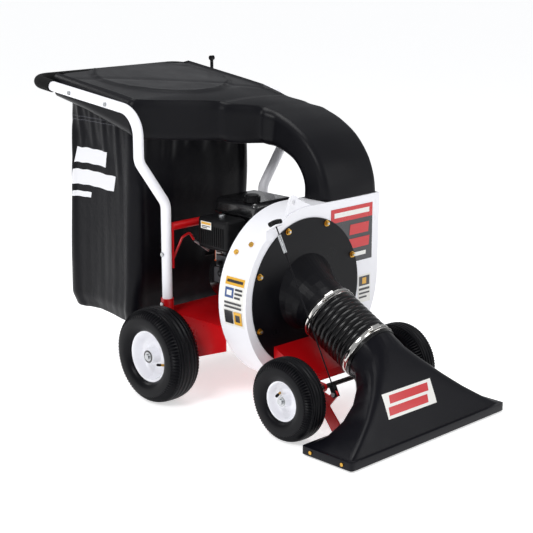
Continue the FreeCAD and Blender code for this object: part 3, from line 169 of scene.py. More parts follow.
def finish(name, colour, roughness, metallic=0.0, grain=1.0, bump=0.0, mottle=0.08, rough_mix=0.1,
           coat=0.0, sheen=0.0, dust=0.0, specular=0.5, stretch=(1, 1, 1), coat_rough=0.1):
    """A surface whose grain size is in millimetres: fine bump, a slow drift in colour, uneven
    gloss and, where asked, pale dust that settles on upward faces."""
    # the frame has plain materials of its own under some of these names
    name = "finish_" + name
    if name in bpy.data.materials:
        return bpy.data.materials[name]
    made = bpy.data.materials.new(name)
    made.use_nodes = True
    made.diffuse_color = colour
    tree = made.node_tree
    shader = tree.nodes["Principled BSDF"]
    shader.inputs["Metallic"].default_value = metallic
    shader.inputs["Coat Weight"].default_value = coat
    shader.inputs["Coat Roughness"].default_value = coat_rough
    shader.inputs["Sheen Weight"].default_value = sheen
    shader.inputs["Sheen Roughness"].default_value = 0.4
    shader.inputs["Specular IOR Level"].default_value = specular
    place = add(tree, "ShaderNodeTexCoord").outputs["Object"]
    turned = add(tree, "ShaderNodeMapping", [("Vector", place), ("Scale", stretch)])
    broad = add(tree, "ShaderNodeTexNoise", [("Vector", turned.outputs[0]), ("Scale", 9.0),
                                             ("Detail", 4.0), ("Roughness", 0.6)])
    fine = add(tree, "ShaderNodeTexNoise", [("Vector", turned.outputs[0]),
                                            ("Scale", 1000.0 / max(grain, 0.2)), ("Detail", 3.0)])
    dark = [c * (1 - mottle) for c in colour[:3]] + [1.0]
    light = [min(1.0, c * (1 + mottle)) for c in colour[:3]] + [1.0]
    tint = add(tree, "ShaderNodeMix", [("Factor", broad.outputs[0]), ("A", dark), ("B", light)],
               data_type="RGBA")
    # the colour sockets of a Mix node share their names, so they are set by place
    tint.inputs[6].default_value, tint.inputs[7].default_value = dark, light
    paint = tint.outputs[2]
    if dust:
        facing = add(tree, "ShaderNodeSeparateXYZ",
                     [("Vector", add(tree, "ShaderNodeNewGeometry").outputs["Normal"])])
        lifted = add(tree, "ShaderNodeMapRange", [("Value", facing.outputs["Z"]),
                                                  ("From Min", -0.2), ("From Max", 1.0),
                                                  ("To Min", 0.15), ("To Max", 1.0)])
        patch = add(tree, "ShaderNodeMapRange", [("Value", broad.outputs[0]),
                                                 ("From Min", 0.35), ("From Max", 0.75),
                                                 ("To Max", dust)])
        amount = add(tree, "ShaderNodeMath", [(0, patch.outputs[0]), (1, lifted.outputs[0])],
                     operation="MULTIPLY")
        dusty = add(tree, "ShaderNodeMix", [("Factor", amount.outputs[0])], data_type="RGBA")
        dusty.inputs[7].default_value = colour_of("8C8578")
        tree.links.new(paint, dusty.inputs[6])
        paint = dusty.outputs[2]
    tree.links.new(paint, shader.inputs["Base Color"])
    gloss = add(tree, "ShaderNodeMapRange", [("Value", broad.outputs[0]), ("From Min", 0.25),
                                             ("From Max", 0.75),
                                             ("To Min", max(0.03, roughness - rough_mix)),
                                             ("To Max", min(1.0, roughness + rough_mix))])
    tree.links.new(gloss.outputs[0], shader.inputs["Roughness"])
    if bump:
        raised = add(tree, "ShaderNodeBump", [("Strength", bump), ("Distance", grain * MM),
                                              ("Height", fine.outputs[0])])
        tree.links.new(raised.outputs[0], shader.inputs["Normal"])
    return made


def finishes():
    """Each finish by name.  The comments say what the real material shows."""
    tone = colours()
    return {
        # epoxy powder coat: slight orange peel of about 2 mm, soft gloss
        "white_coat": finish("white_powder_coat", list(tone.white), 0.36, grain=2.2, bump=0.10,
                             mottle=0.025, coat=0.25, coat_rough=0.2),
        "red_coat": finish("red_powder_coat", list(tone.red), 0.34, grain=2.2, bump=0.10,
                           mottle=0.08, coat=0.3, coat_rough=0.2),
        "black_coat": finish("black_powder_coat", colour_of("0C0C10"), 0.34, grain=2.0,
                             bump=0.08, mottle=0.12, specular=0.14),
        # enamelled wheel discs: smoother and whiter than the powder coat
        "enamel": finish("white_wheel_enamel", colour_of("EAEAEF"), 0.30, grain=3.0, bump=0.03,
                         mottle=0.02, coat=0.2, coat_rough=0.2),
        # natural rubber: matt with a bloom and dust in the grooves
        "rubber": finish("tyre_rubber", list(tone.rubber), 0.38, grain=0.9, bump=0.15,
                         mottle=0.2, specular=0.12),
        # blown hose: smooth thermoplastic rubber with a wet-looking gloss
        "hose": finish("gloss_hose_rubber", colour_of("08080A"), 0.24, grain=5.0, bump=0.06,
                       mottle=0.15, rough_mix=0.05, specular=0.30),
        # rotationally moulded polyethylene: satin with a faint orange peel
        "hood": finish("hood_polyethylene", list(tone.hood), 0.36, grain=1.6, bump=0.12,
                       mottle=0.10, rough_mix=0.06, specular=0.14),
        "nozzle": finish("nozzle_polyethylene", list(tone.nozzle), 0.32, grain=2.0, bump=0.10,
                         mottle=0.15, rough_mix=0.06, specular=0.14),
        # open-cell foam sleeve: deep pores of about a millimetre
        "foam": finish("foam_rubber", colour_of("0E0E0F"), 0.92, grain=1.3, bump=0.9,
                       mottle=0.3, rough_mix=0.04, specular=0.2),
        "zinc": finish("zinc_plated_steel", colour_of("B9BBBD"), 0.34, metallic=1.0, grain=0.8,
                       bump=0.12, mottle=0.12, stretch=(1, 4, 1)),
        "gold_zinc": finish("yellow_zinc_steel", colour_of("C79A45"), 0.32, metallic=1.0,
                            grain=1.0, bump=0.10, mottle=0.25),
        "stainless": finish("polished_stainless_steel", colour_of("D8D6D2"), 0.16, metallic=1.0,
                            grain=1.0, bump=0.03, mottle=0.06, rough_mix=0.05,
                            stretch=(1, 12, 12)),
        "aluminium": finish("cast_aluminium", colour_of("5A5B5E"), 0.5, metallic=1.0, grain=1.4,
                            bump=0.4, mottle=0.2),
        "gloss_black": finish("gloss_black_enamel", colour_of("101012"), 0.2, grain=3.0,
                              bump=0.05, mottle=0.2, coat=0.6, dust=0.008),
        # moulded nylon and polypropylene: spark-eroded texture
        "plastic": finish("textured_black_plastic", colour_of("0C0C0E"), 0.42, grain=0.9,
                          bump=0.2, mottle=0.15, specular=0.16),
        "nylon": finish("natural_nylon", colour_of("D8D3C4"), 0.45, grain=1.0, bump=0.08),
        "sheath": finish("vinyl_cable_sheath", colour_of("131314"), 0.3, grain=1.5, bump=0.1),
        "brass": finish("turned_brass", colour_of("B78E45"), 0.25, metallic=1.0, grain=0.6,
                        bump=0.1, mottle=0.15),
        "dark_steel": finish("dark_grey_steel", colour_of("5C5B5C"), 0.42, metallic=1.0,
                             grain=1.0, bump=0.2, mottle=0.2),
        # printed vinyl: flat ink under a clear film
        "label_white": finish("label_white_vinyl", colour_of("ECEBE6"), 0.32, grain=2.0,
                              bump=0.02, mottle=0.02, coat=0.3),
        "label_red": finish("label_red_ink", list(tone.label_red), 0.32, grain=2.0, bump=0.02,
                            mottle=0.03, coat=0.3),
        "label_gold": finish("label_amber_ink", list(tone.label_gold), 0.32, grain=2.0,
                             bump=0.02, mottle=0.03, coat=0.3),
        "label_dark": finish("label_dark_ink", colour_of("26262B"), 0.32, grain=2.0, bump=0.02,
                             mottle=0.03, coat=0.3),
        "label_blue": finish("label_blue_ink", colour_of("2C4C86"), 0.32, grain=2.0, bump=0.02,
                             mottle=0.03, coat=0.3),
        "label_orange": finish("label_orange_ink", colour_of("E0641E"), 0.32, grain=2.0,
                               bump=0.02, mottle=0.03, coat=0.3),
    }


SLOT_FINISH = {
    "tyre_rubber": "rubber", "white_enamel": "enamel", "white_powder_coat": "white_coat",
    "red_powder_coat": "red_coat", "black_powder_coat": "black_coat", "zinc_steel": "zinc",
    "yellow_zinc": "gold_zinc", "stainless": "stainless", "impeller_steel": "black_coat",
    "hose_rubber": "hose", "foam_rubber": "foam", "nozzle_polyethylene": "nozzle",
    "hood_polyethylene": "hood", "bag_fabric": "plastic", "bush_nylon": "nylon",
    "engine_black": "gloss_black", "engine_plastic": "plastic", "cast_aluminium": "aluminium",
    "plug_porcelain": "plastic", "cable_sheath": "sheath",
}


def fabric_material():
    """PVC-coated polyester: a plain weave under a soft plastic shine, a sewn hem with pale
    stitches, and a printed panel of three plain bars on the right side."""
    name = "finish_coated_bag_fabric"
    if name in bpy.data.materials:
        return bpy.data.materials[name]
    made = bpy.data.materials.new(name)
    made.use_nodes = True
    tree = made.node_tree
    shader = tree.nodes["Principled BSDF"]
    shader.inputs["Specular IOR Level"].default_value = 0.12
    chart = add(tree, "ShaderNodeUVMap", uv_map="pattern").outputs[0]
    broad = add(tree, "ShaderNodeTexNoise", [("Vector", chart), ("Scale", 7.0),
                                             ("Detail", 5.0)]).outputs[0]
    parts = add(tree, "ShaderNodeSeparateXYZ", [("Vector", chart)])
    across, down = parts.outputs["X"], parts.outputs["Y"]

    def calc(operation, *values):
        links = [(i, value) for i, value in enumerate(values)]
        return add(tree, "ShaderNodeMath", links, operation=operation).outputs[0]

    def band(value, low, high):
        """One between low and high, else nothing."""
        return calc("MULTIPLY", calc("GREATER_THAN", value, low), calc("LESS_THAN", value, high))

    # weave drawn at 2.4 mm, coarser than the real 0.5 mm so that it shows
    warp = calc("SINE", calc("MULTIPLY", across, 2 * math.pi / (2.4 * MM)))
    weft = calc("SINE", calc("MULTIPLY", down, 2 * math.pi / (2.4 * MM)))
    weave = calc("MULTIPLY", warp, weft)
    # a row of stitches 6 mm long with 3 mm gaps on the hem
    dash = calc("LESS_THAN", calc("FRACT", calc("MULTIPLY", across, 1 / (9 * MM))), 0.66)
    stitch = calc("MULTIPLY", dash, calc("MAXIMUM", band(down, 0.060, 0.0622),
                                         band(down, 0.072, 0.0742)))
    # three slanted bars printed near the middle of the right side
    slanted = calc("ADD", across, calc("MULTIPLY", down, 0.28))
    bars = calc("MAXIMUM", calc("MULTIPLY", band(down, 0.17, 0.225), band(slanted, 0.12, 0.36)),
                calc("MAXIMUM",
                     calc("MULTIPLY", band(down, 0.250, 0.305), band(slanted, 0.12, 0.44)),
                     calc("MULTIPLY", band(down, 0.330, 0.350), band(slanted, 0.14, 0.28))))
    base = add(tree, "ShaderNodeMix", [("Factor", broad)], data_type="RGBA")
    tone = list(colours().fabric)
    base.inputs[6].default_value = [c * 0.8 for c in tone[:3]] + [1.0]
    base.inputs[7].default_value = [c * 1.25 for c in tone[:3]] + [1.0]
    sewn = add(tree, "ShaderNodeMix", [("Factor", stitch)], data_type="RGBA")
    tree.links.new(base.outputs[2], sewn.inputs[6])
    sewn.inputs[7].default_value = colour_of("55555C")
    printed = add(tree, "ShaderNodeMix", [("Factor", bars)], data_type="RGBA")
    tree.links.new(sewn.outputs[2], printed.inputs[6])
    printed.inputs[7].default_value = colour_of("E4E4E8")
    tree.links.new(printed.outputs[2], shader.inputs["Base Color"])
    gloss = add(tree, "ShaderNodeMapRange", [("Value", broad), ("From Min", 0.3),
                                             ("From Max", 0.7), ("To Min", 0.28),
                                             ("To Max", 0.44)])
    tree.links.new(gloss.outputs[0], shader.inputs["Roughness"])
    seam = calc("ADD", calc("MULTIPLY", weave, 0.12), calc("MULTIPLY", stitch, 1.0))
    raised = add(tree, "ShaderNodeBump", [("Strength", 0.5), ("Distance", 0.6 * MM),
                                          ("Height", seam)])
    crease = add(tree, "ShaderNodeTexNoise", [("Vector", chart), ("Scale", 24.0),
                                              ("Detail", 6.0), ("Distortion", 1.2)])
    folded = add(tree, "ShaderNodeBump", [("Strength", 0.35), ("Distance", 3 * MM),
                                          ("Height", crease.outputs[0]),
                                          ("Normal", raised.outputs[0])])
    tree.links.new(folded.outputs[0], shader.inputs["Normal"])
    return made


# ------------------------------------------------------------------ mesh work
def mesh_of(name, points, faces):
    mesh = bpy.data.meshes.new(name)
    mesh.from_pydata([tuple(p) for p in points], [], faces)
    return mesh


def linked(name, data):
    """A new object of the scene that holds a mesh, a lamp or a camera."""
    made = bpy.data.objects.new(name, data)
    bpy.context.scene.collection.objects.link(made)
    return made


def clean(mesh, weld=0.0, outward=True):
    """Joins points closer than weld and turns the faces outward."""
    work = bmesh.new()
    work.from_mesh(mesh)
    if weld:
        bmesh.ops.remove_doubles(work, verts=work.verts, dist=weld)
    if outward:
        bmesh.ops.recalc_face_normals(work, faces=work.faces)
    work.to_mesh(mesh)
    work.free()


def piece(name, points, faces, material, body, stands_for=(), sharp=35.0, weld=0.0, outward=True):
    """A finished piece at the origin that moves with a body of the machine."""
    mesh = mesh_of(name, points, faces)
    clean(mesh, weld, outward)
    return settle(name, mesh, material, body, stands_for, sharp)


def settle(name, mesh, material, body, stands_for=(), sharp=35.0):
    """Links a mesh as a piece, shades it, hangs it on the body it rides on and hides the parts it
    stands for.
    """
    made = linked(name, mesh)
    if material is not None:
        mesh.materials.clear()
        mesh.materials.append(material)
    if sharp is not None:
        mesh.shade_smooth()
        mesh.set_sharp_from_angle(angle=math.radians(sharp))
    if body:
        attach(made, body)
    if stands_for:
        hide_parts(*stands_for)
    return made


def joined(*shapes):
    """Several (points, faces) as one."""
    points, faces = [], []
    for more, loops in shapes:
        start = len(points)
        points += more
        faces += [[i + start for i in loop] for loop in loops]
    return points, faces


def skin(rings, around=True, lengthwise=False):
    """Points and faces of a surface over rings of equal length."""
    count, wide = len(rings), len(rings[0])
    points = [p for ring in rings for p in ring]
    faces = []
    for i in range(count if lengthwise else count - 1):
        j = (i + 1) % count
        for k in range(wide if around else wide - 1):
            n = (k + 1) % wide
            faces.append([i * wide + k, i * wide + n, j * wide + n, j * wide + k])
    return points, faces


def basis(axis, toward=None):
    axis = Vector(axis).normalized()
    u = (axis.orthogonal() if toward is None else
         Vector(toward) - axis * axis.dot(Vector(toward))).normalized()
    return axis, u, axis.cross(u)


def lathe(profile, centre, axis, segments=72, closed=True, relief=None, toward=None):
    """A turned shape.  profile holds (radius, distance along the axis); relief adds to the
    radius for a profile point and a segment."""
    axis, u, v = basis(axis, toward)
    rings = []
    for number, (radius, along) in enumerate(profile):
        ring = []
        for k in range(segments):
            angle = 2 * math.pi * k / segments
            r = radius + (relief(number, k) if relief else 0.0)
            ring.append(centre + axis * along + (u * math.cos(angle) + v * math.sin(angle)) * r)
        rings.append(ring)
    return skin(rings, True, closed)


def block(centre, size, turn=None, chamfer=0.12):
    """A block with chamfered edges, as points and faces."""
    work = bmesh.new()
    bmesh.ops.create_cube(work, size=1.0)
    bmesh.ops.scale(work, vec=Vector(size), verts=work.verts)
    bmesh.ops.bevel(work, geom=work.edges[:], offset=min(size) * chamfer, segments=2,
                    profile=0.6, affect="EDGES")
    if turn is not None:
        bmesh.ops.rotate(work, matrix=turn, verts=work.verts)
    bmesh.ops.translate(work, vec=Vector(centre), verts=work.verts)
    work.verts.index_update()
    shape = ([v.co.copy() for v in work.verts], [[v.index for v in f.verts] for f in work.faces])
    work.free()
    return shape


def pipe(path, radius, sides=10):
    """A round bar along a list of points."""
    rings, last = [], None
    for i, at in enumerate(path):
        ahead = (path[min(i + 1, len(path) - 1)] - path[max(i - 1, 0)]).normalized()
        _, u, v = basis(ahead, last if last is not None else ahead.orthogonal())
        last = u
        rings.append([at + (u * math.cos(2 * math.pi * k / sides)
                            + v * math.sin(2 * math.pi * k / sides)) * radius
                      for k in range(sides)])
    points, faces = skin(rings)
    faces.append(list(range(sides))[::-1])
    faces.append([len(points) - sides + k for k in range(sides)])
    return points, faces


def repeat_tree():
    """Repeats a small shape about an axis or along a line, or both."""
    name = "repeat_about_or_along"
    if name in bpy.data.node_groups:
        return bpy.data.node_groups[name]
    tree = bpy.data.node_groups.new(name, "GeometryNodeTree")
    for socket, kind in (("Geometry", "Geometry"), ("Count", "Int"), ("Centre", "Vector"),
                         ("Turn axis", "Vector"), ("Turn step", "Float"),
                         ("Shift step", "Vector"), ("Finish", "Material")):
        tree.interface.new_socket(socket, in_out="INPUT", socket_type="NodeSocket" + kind)
    tree.interface.new_socket("Geometry", in_out="OUTPUT", socket_type="NodeSocketGeometry")
    given = add(tree, "NodeGroupInput").outputs
    index = add(tree, "GeometryNodeInputIndex").outputs[0]
    shift = add(tree, "ShaderNodeVectorMath", [(0, given["Shift step"])], operation="SCALE")
    tree.links.new(index, shift.inputs["Scale"])
    place = add(tree, "ShaderNodeVectorMath", [(0, given["Centre"]), (1, shift.outputs[0])],
                operation="ADD")
    line = add(tree, "GeometryNodeMeshLine", [("Count", given["Count"])])
    points = add(tree, "GeometryNodeSetPosition", [("Geometry", line.outputs[0]),
                                                   ("Position", place.outputs[0])])
    angle = add(tree, "ShaderNodeMath", [(0, index), (1, given["Turn step"])],
                operation="MULTIPLY")
    turn = add(tree, "FunctionNodeAxisAngleToRotation", [("Axis", given["Turn axis"]),
                                                         ("Angle", angle.outputs[0])])
    copies = add(tree, "GeometryNodeInstanceOnPoints", [("Points", points.outputs[0]),
                                                        ("Instance", given["Geometry"]),
                                                        ("Rotation", turn.outputs[0])])
    real = add(tree, "GeometryNodeRealizeInstances", [("Geometry", copies.outputs[0])])
    painted = add(tree, "GeometryNodeSetMaterial", [("Geometry", real.outputs[0]),
                                                    ("Material", given["Finish"])])
    add(tree, "NodeGroupOutput", [("Geometry", painted.outputs[0])])
    return tree


def repeated(name, shape, material, body, count, centre, axis=(0, 0, 1), step=0.0,
             shift=(0, 0, 0), stands_for=(), sharp=35.0, weld=0.0):
    """A shape drawn about its own origin, repeated by the node tree and made one mesh."""
    mesh = mesh_of(name + "_one", *shape)
    clean(mesh)
    holder = linked(name + "_one", mesh)
    tree = repeat_tree()
    modifier = holder.modifiers.new("repeat", "NODES")
    modifier.node_group = tree
    values = {"Count": count, "Centre": Vector(centre), "Turn axis": Vector(axis),
              "Turn step": float(step), "Shift step": Vector(shift), "Finish": material}
    for item in tree.interface.items_tree:
        if item.in_out == "INPUT" and item.name in values:
            modifier[item.identifier] = values[item.name]
    seen = bpy.context.evaluated_depsgraph_get()
    final = bpy.data.meshes.new_from_object(holder.evaluated_get(seen))
    bpy.data.objects.remove(holder)
    if weld:
        clean(final, weld)
    final.name = name
    return settle(name, final, material, body, stands_for, sharp)


def surface_of(*names):
    """A search tree over the triangles of CAD nodes or pieces."""
    points, faces = [], []
    for name in names:
        mesh = bpy.data.objects[name].data
        start = len(points)
        points += [v.co.copy() for v in mesh.vertices]
        faces += [[i + start for i in f.vertices] for f in mesh.polygons]
    return BVHTree.FromPolygons(points, faces)


def sticker(name, target, origin, across, down, toward, marks, palette, body, cells=(16, 20),
            lift=0.0006):
    """A printed label laid on a surface.  marks holds (u0, v0, u1, v1, slant, ink) rectangles
    in the label's own units, painted one over the other; the first is its ground."""
    toward = Vector(toward).normalized()
    tree = surface_of(target)
    shapes = []
    for level, (u0, v0, u1, v1, slant, ink) in enumerate(marks):
        wide = max(1, round(cells[0] * (u1 - u0)))
        tall = max(1, round(cells[1] * (v1 - v0)))
        rings = []
        for j in range(tall + 1):
            v = v0 + (v1 - v0) * j / tall
            ring = []
            for i in range(wide + 1):
                u = u0 + (u1 - u0) * i / wide + slant * (0.5 - v)
                at = Vector(origin) + Vector(across) * u + Vector(down) * v
                spot, normal, _, _ = tree.ray_cast(at - toward * 0.3, toward, 0.6)
                if spot is None:
                    spot, normal = at, -toward
                if normal.dot(toward) > 0:
                    normal = -normal
                ring.append(spot + normal * (lift + 0.00025 * level))
            rings.append(ring)
        shapes.append((skin(rings, around=False), ink))
    inks = sorted({ink for _, ink in shapes})
    points, faces, slots = [], [], []
    for (more, loops), ink in shapes:
        start = len(points)
        points += more
        faces += [[i + start for i in loop] for loop in loops]
        slots += [inks.index(ink)] * len(loops)
    mesh = mesh_of(name, points, faces)
    for ink in inks:
        mesh.materials.append(palette[ink])
    mesh.polygons.foreach_set("material_index", slots)
    for face in mesh.polygons:
        if face.normal.dot(toward) > 0:
            face.flip()
    made = linked(name, mesh)
    mesh.shade_smooth()
    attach(made, body)
    return made


# ------------------------------------------------------------------ wheels
def tyre(wheel):
    """Grooved tread, saw-tooth shoulders, ringed sidewalls."""
    name = wheel + "_tyre"
    centre, size = middle(name), span(name)
    radius, half = size.z / 2, size.y / 2
    bead = span(wheel + "_rim").z / 2 - 8 * MM
    waist, rise = (radius + bead) / 2, (radius - bead) / 2
    teeth, depth = sizes().shoulder_teeth, sizes().tread_depth
    segments, count = teeth * 3, 104
    profile, zone = [], []
    for number in range(count):
        angle = math.radians(-142 + 284 * number / (count - 1))
        c, s = math.cos(angle), math.sin(angle)
        power = 2 / 2.7
        r = waist + rise * math.copysign(abs(c) ** power, c)
        y = half * math.copysign(abs(s) ** power, s)
        reach = abs(y) / half
        groove = 0.0
        if c > 0 and reach < 0.60:
            ridge = (reach * 5.2) % 1.0
            groove = depth * (0.9 if ridge > 0.72 else 0.0)
        if c < 0.35 and (0.30 < (waist + rise - r) / (2 * rise) < 0.98):
            groove += 0.6 * MM * (1 if ((r - bead) / (5.5 * MM)) % 1.0 > 0.7 else 0)
        profile.append((max(bead - 2 * MM, r - groove), y))
        zone.append(c > -0.05 and 0.62 < reach < 0.97)

    def relief(number, k):
        return -depth * (0, 1.3, 0.65)[k % 3] if zone[number] else 0.0

    shape = lathe(profile, centre, (0, 1, 0), segments, True, relief)
    return piece(name + "_tread", *shape, finishes()["rubber"], wheel + "_wheel", (name,),
                 sharp=28)


def rim(wheel):
    """Dished steel disc with a rolled edge, hub, dark washer and valve."""
    name, body = wheel + "_rim", wheel + "_wheel"
    centre, size = middle(name), span(name)
    radius, half = size.z / 2, size.y / 2
    out = -1 if centre.y < middle("deck").y else 1
    full = [(0.86, -1.0), (1.0, -1.0), (1.02, -0.93), (0.97, -0.80), (0.90, -0.74),
            (0.90, 0.74), (0.96, 0.80), (1.0, 0.88), (1.015, 0.96), (0.99, 1.01),
            (0.95, 1.0), (0.915, 0.93), (0.885, 0.80), (0.85, 0.50), (0.82, 0.28),
            (0.77, 0.16), (0.70, 0.12), (0.60, 0.13), (0.555, 0.19), (0.50, 0.215),
            (0.42, 0.22), (0.36, 0.235), (0.315, 0.28), (0.295, 0.40), (0.285, 0.80),
            (0.27, 0.97), (0.25, 1.0), (0.13, 1.0), (0.13, 0.05), (0.30, 0.02),
            (0.60, 0.0), (0.80, 0.04), (0.86, 0.3)]
    profile = [(r * radius, y * half) for r, y in full]
    disc = lathe(profile, centre, (0, out, 0), 88, True)
    made = piece(name + "_disc", *disc, finishes()["enamel"], body, (name,), sharp=40)
    face = centre + Vector((0, out * half, 0))
    washer = lathe([(0.13 * radius, .0002), (0.24 * radius, .0002), (0.245 * radius, .0014),
                    (0.235 * radius, .0019), (0.13 * radius, .0019)], face, (0, out, 0), 40)
    piece(name + "_washer", *washer, finishes()["dark_steel"], body)
    way = (0.46, -0.34) if wheel.startswith("rear") else (-0.50, 0.22)
    lean = Vector((-way[0] * 0.6, out * 0.9, -way[1] * 0.6)).normalized()
    foot = centre + Vector((way[0] * radius, out * half * 0.14, way[1] * radius))
    stem = lathe([(0.0, 0.0), (0.0042, 0.0), (0.0042, 0.016), (0.003, 0.017), (0.003, 0.026),
                  (0.0, 0.026)], foot, lean, 16, False)
    piece(name + "_valve", *stem, finishes()["brass"], body, weld=1e-5)
    cap = lathe([(0.0, 0.017), (0.0048, 0.017), (0.0048, 0.028), (0.003, 0.031),
                 (0.0, 0.0315)], foot, lean, 16, False)
    piece(name + "_valve_cap", *cap, finishes()["plastic"], body, weld=1e-5)
    return made


# ------------------------------------------------------------------ hood
DUCT_WIDTH, HOOD_WIDTH = 0.270, 0.646
PANEL_RADIUS, PANEL_STEP = 0.252, 0.012
LIP_RADIUS, LIP_SPREAD = 0.243, 0.009


def hood_stations():
    """(low point, high point, right edge, left edge) along the hood, in metres."""
    low, high = ends("hood")
    right, left = HOUSING_HIGH.y - DUCT_WIDTH, HOUSING_HIGH.y
    back, front, top = HOUSING_LOW.x, HOUSING_HIGH.x, low.z
    rear, side0, side1 = low.x, low.y, low.y + HOOD_WIDTH

    def at(x, rise):
        return Vector((x, 0, top + rise))

    return [(at(back, 0), at(front, 0), right, left),
            (at(back, .046), at(front - .010, .058), right, left),
            (at(back - .016, .084), at(front - .040, .128), right, left),
            (at(back - .046, .118), at(front - .098, .196), right, left),
            (at(back - .090, .140), at(front - .170, .243), right, left),
            (at(back - .140, .155), at(front - .240, .274), right - .002, left - .006),
            (at(back - .180, .164), at(front - .296, .294), right - .020, left - .040),
            (at(back - .242, .178), at(front - .369, .318), right - .150, left - .080),
            (at(back - .343, .216), at(front - .469, .350), side0, side1),
            (at(back - .430, .240), at(front - .560, .363), side0, side1),
            (at(back - .600, .286), at(front - .729, .384), side0, side1),
            (at(rear, .318), at(rear, .404), side0, side1)]


def spline(a, b, c, d, t):
    return (b * 2 + (c - a) * t + (a * 2 - b * 5 + c * 4 - d) * t * t
            + (b * 3 - a - c * 3 + d) * t * t * t) * 0.5


def hood_shell():
    """Moulded hood as one skin: a duct over the chute that widens over the bag, with a round
    raised panel and a shallow fold in its top, open over the bag."""
    stations = hood_stations()
    rows = [(low.x, low.z, high.x, high.z, r, l) for low, high, r, l in stations]
    steps, finer = 9, []
    for i in range(len(rows) - 1):
        four = [rows[max(0, i - 1)], rows[i], rows[i + 1], rows[min(len(rows) - 1, i + 2)]]
        linear = i >= 8
        for step in range(steps):
            t = step / steps
            values = []
            for k in range(6):
                a, b, c, d = (row[k] for row in four)
                if linear or k >= 4:
                    ease = t * t * (3 - 2 * t) if (k >= 4 and not linear) else t
                    values.append(b + (c - b) * ease)
                else:
                    values.append(spline(a, b, c, d, t))
            finer.append(values)
    finer.append(list(rows[-1]))
    low_box, high_box = ends("hood")
    mouth_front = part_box("bag")[1][0] + 0.006
    panel = Vector((low_box.x + 0.175, (low_box.y + high_box.y) / 2 - 0.025, 0))
    wide, tall, corner = 46, 12, 5
    rings = []
    for lx, lz, hx, hz, r, l in finer:
        low, high = Vector((lx, 0, lz)), Vector((hx, 0, hz))
        up = high - low
        height = up.length
        up.normalize()
        bend = min(0.030, height * 0.24)
        ring = []

        def corner_arc(cy, cu, start):
            for q in range(corner):
                angle = start + math.pi / 2 * q / corner
                ring.append(low + up * (cu + bend * math.sin(angle))
                            + Vector((0, cy + bend * math.cos(angle), 0)))

        inner = l - r - 2 * bend
        for i in range(wide):
            ring.append(low + Vector((0, r + bend + inner * i / wide, 0)))
        corner_arc(l - bend, bend, -math.pi / 2)
        for i in range(tall):
            ring.append(low + up * (bend + (height - 2 * bend) * i / tall)
                        + Vector((0, l, 0)))
        corner_arc(l - bend, height - bend, 0.0)
        for i in range(wide):
            ring.append(high + Vector((0, l - bend - inner * i / wide, 0)))
        corner_arc(r + bend, height - bend, math.pi / 2)
        for i in range(tall):
            ring.append(low + up * (height - bend - (height - 2 * bend) * i / tall)
                        + Vector((0, r, 0)))
        corner_arc(r + bend, bend, math.pi)
        top_from = wide + corner + tall + corner
        for i in range(top_from, top_from + wide + 1):
            p = ring[i]
            crown = math.sin(math.pi * min(1.0, (i - top_from) / wide)) * 0.004
            away = (Vector((p.x, p.y, 0)) - panel).length
            edge = min(1.0, max(0.0, (PANEL_RADIUS - away) / PANEL_STEP))
            lip = math.exp(-((away - LIP_RADIUS) / LIP_SPREAD) ** 2)
            rise = sizes().ring_height
            flat_part = 1.0 if p.x < mouth_front + 0.10 else 0.0
            fold_line = low_box.x + 0.06 + (p.y - low_box.y) * 0.62
            fold = math.exp(-((p.x - fold_line) / 0.012) ** 2)
            ring[i] = p + up * (flat_part * (rise * (edge * 0.7 + lip * 0.5) - rise)
                                + crown - flat_part * fold * 0.003)
        rings.append(ring)
    points, faces = skin(rings)
    count = len(rings[0])
    kept = []
    for face in faces:
        middle_of = sum((points[i] for i in face), Vector()) / 4
        under = face[0] % count < wide
        if under and mouth_front > middle_of.x > low_box.x + 0.014 \
                and low_box.y + 0.030 < middle_of.y < low_box.y + 0.616:
            continue
        kept.append(face)
    last = len(rings) - 1
    # the rear end is closed by shrinking copies of its last ring
    centre = sum(rings[-1], Vector()) / count
    for shrink in (0.6, 0.25):
        start = len(points)
        points += [centre + (p - centre) * shrink for p in rings[-1]]
        base = last * count
        for k in range(count):
            n = (k + 1) % count
            kept.append([base + k, base + n, start + n, start + k])
        last = start // count
    points.append(centre)
    kept += [[last * count + k, last * count + (k + 1) % count, len(points) - 1]
             for k in range(count)]
    made = piece("hood_shell", points, kept, finishes()["hood"], "chassis", ("hood",), sharp=50,
                 outward=False, weld=2e-5)
    inside = Vector((centre.x + 0.25, centre.y, centre.z))
    turn_outward(made, lambda point: point - inside)
    thick = made.modifiers.new("wall", "SOLIDIFY")
    thick.thickness, thick.offset = sizes().hood_wall, -1.0
    apply_modifiers(made)
    return made


def turn_outward(obj, away):
    """Flips an open skin whose faces mostly look inward.  away gives the outward direction."""
    mesh = obj.data
    votes = sum(1 if face.normal.dot(away(face.center)) > 0 else -1 for face in mesh.polygons)
    if votes < 0:
        mesh.flip_normals()


def apply_modifiers(obj):
    seen = bpy.context.evaluated_depsgraph_get()
    final = bpy.data.meshes.new_from_object(obj.evaluated_get(seen))
    obj.modifiers.clear()
    obj.data = final


# ------------------------------------------------------------------ bag
BAG_GIRTH = 1.94


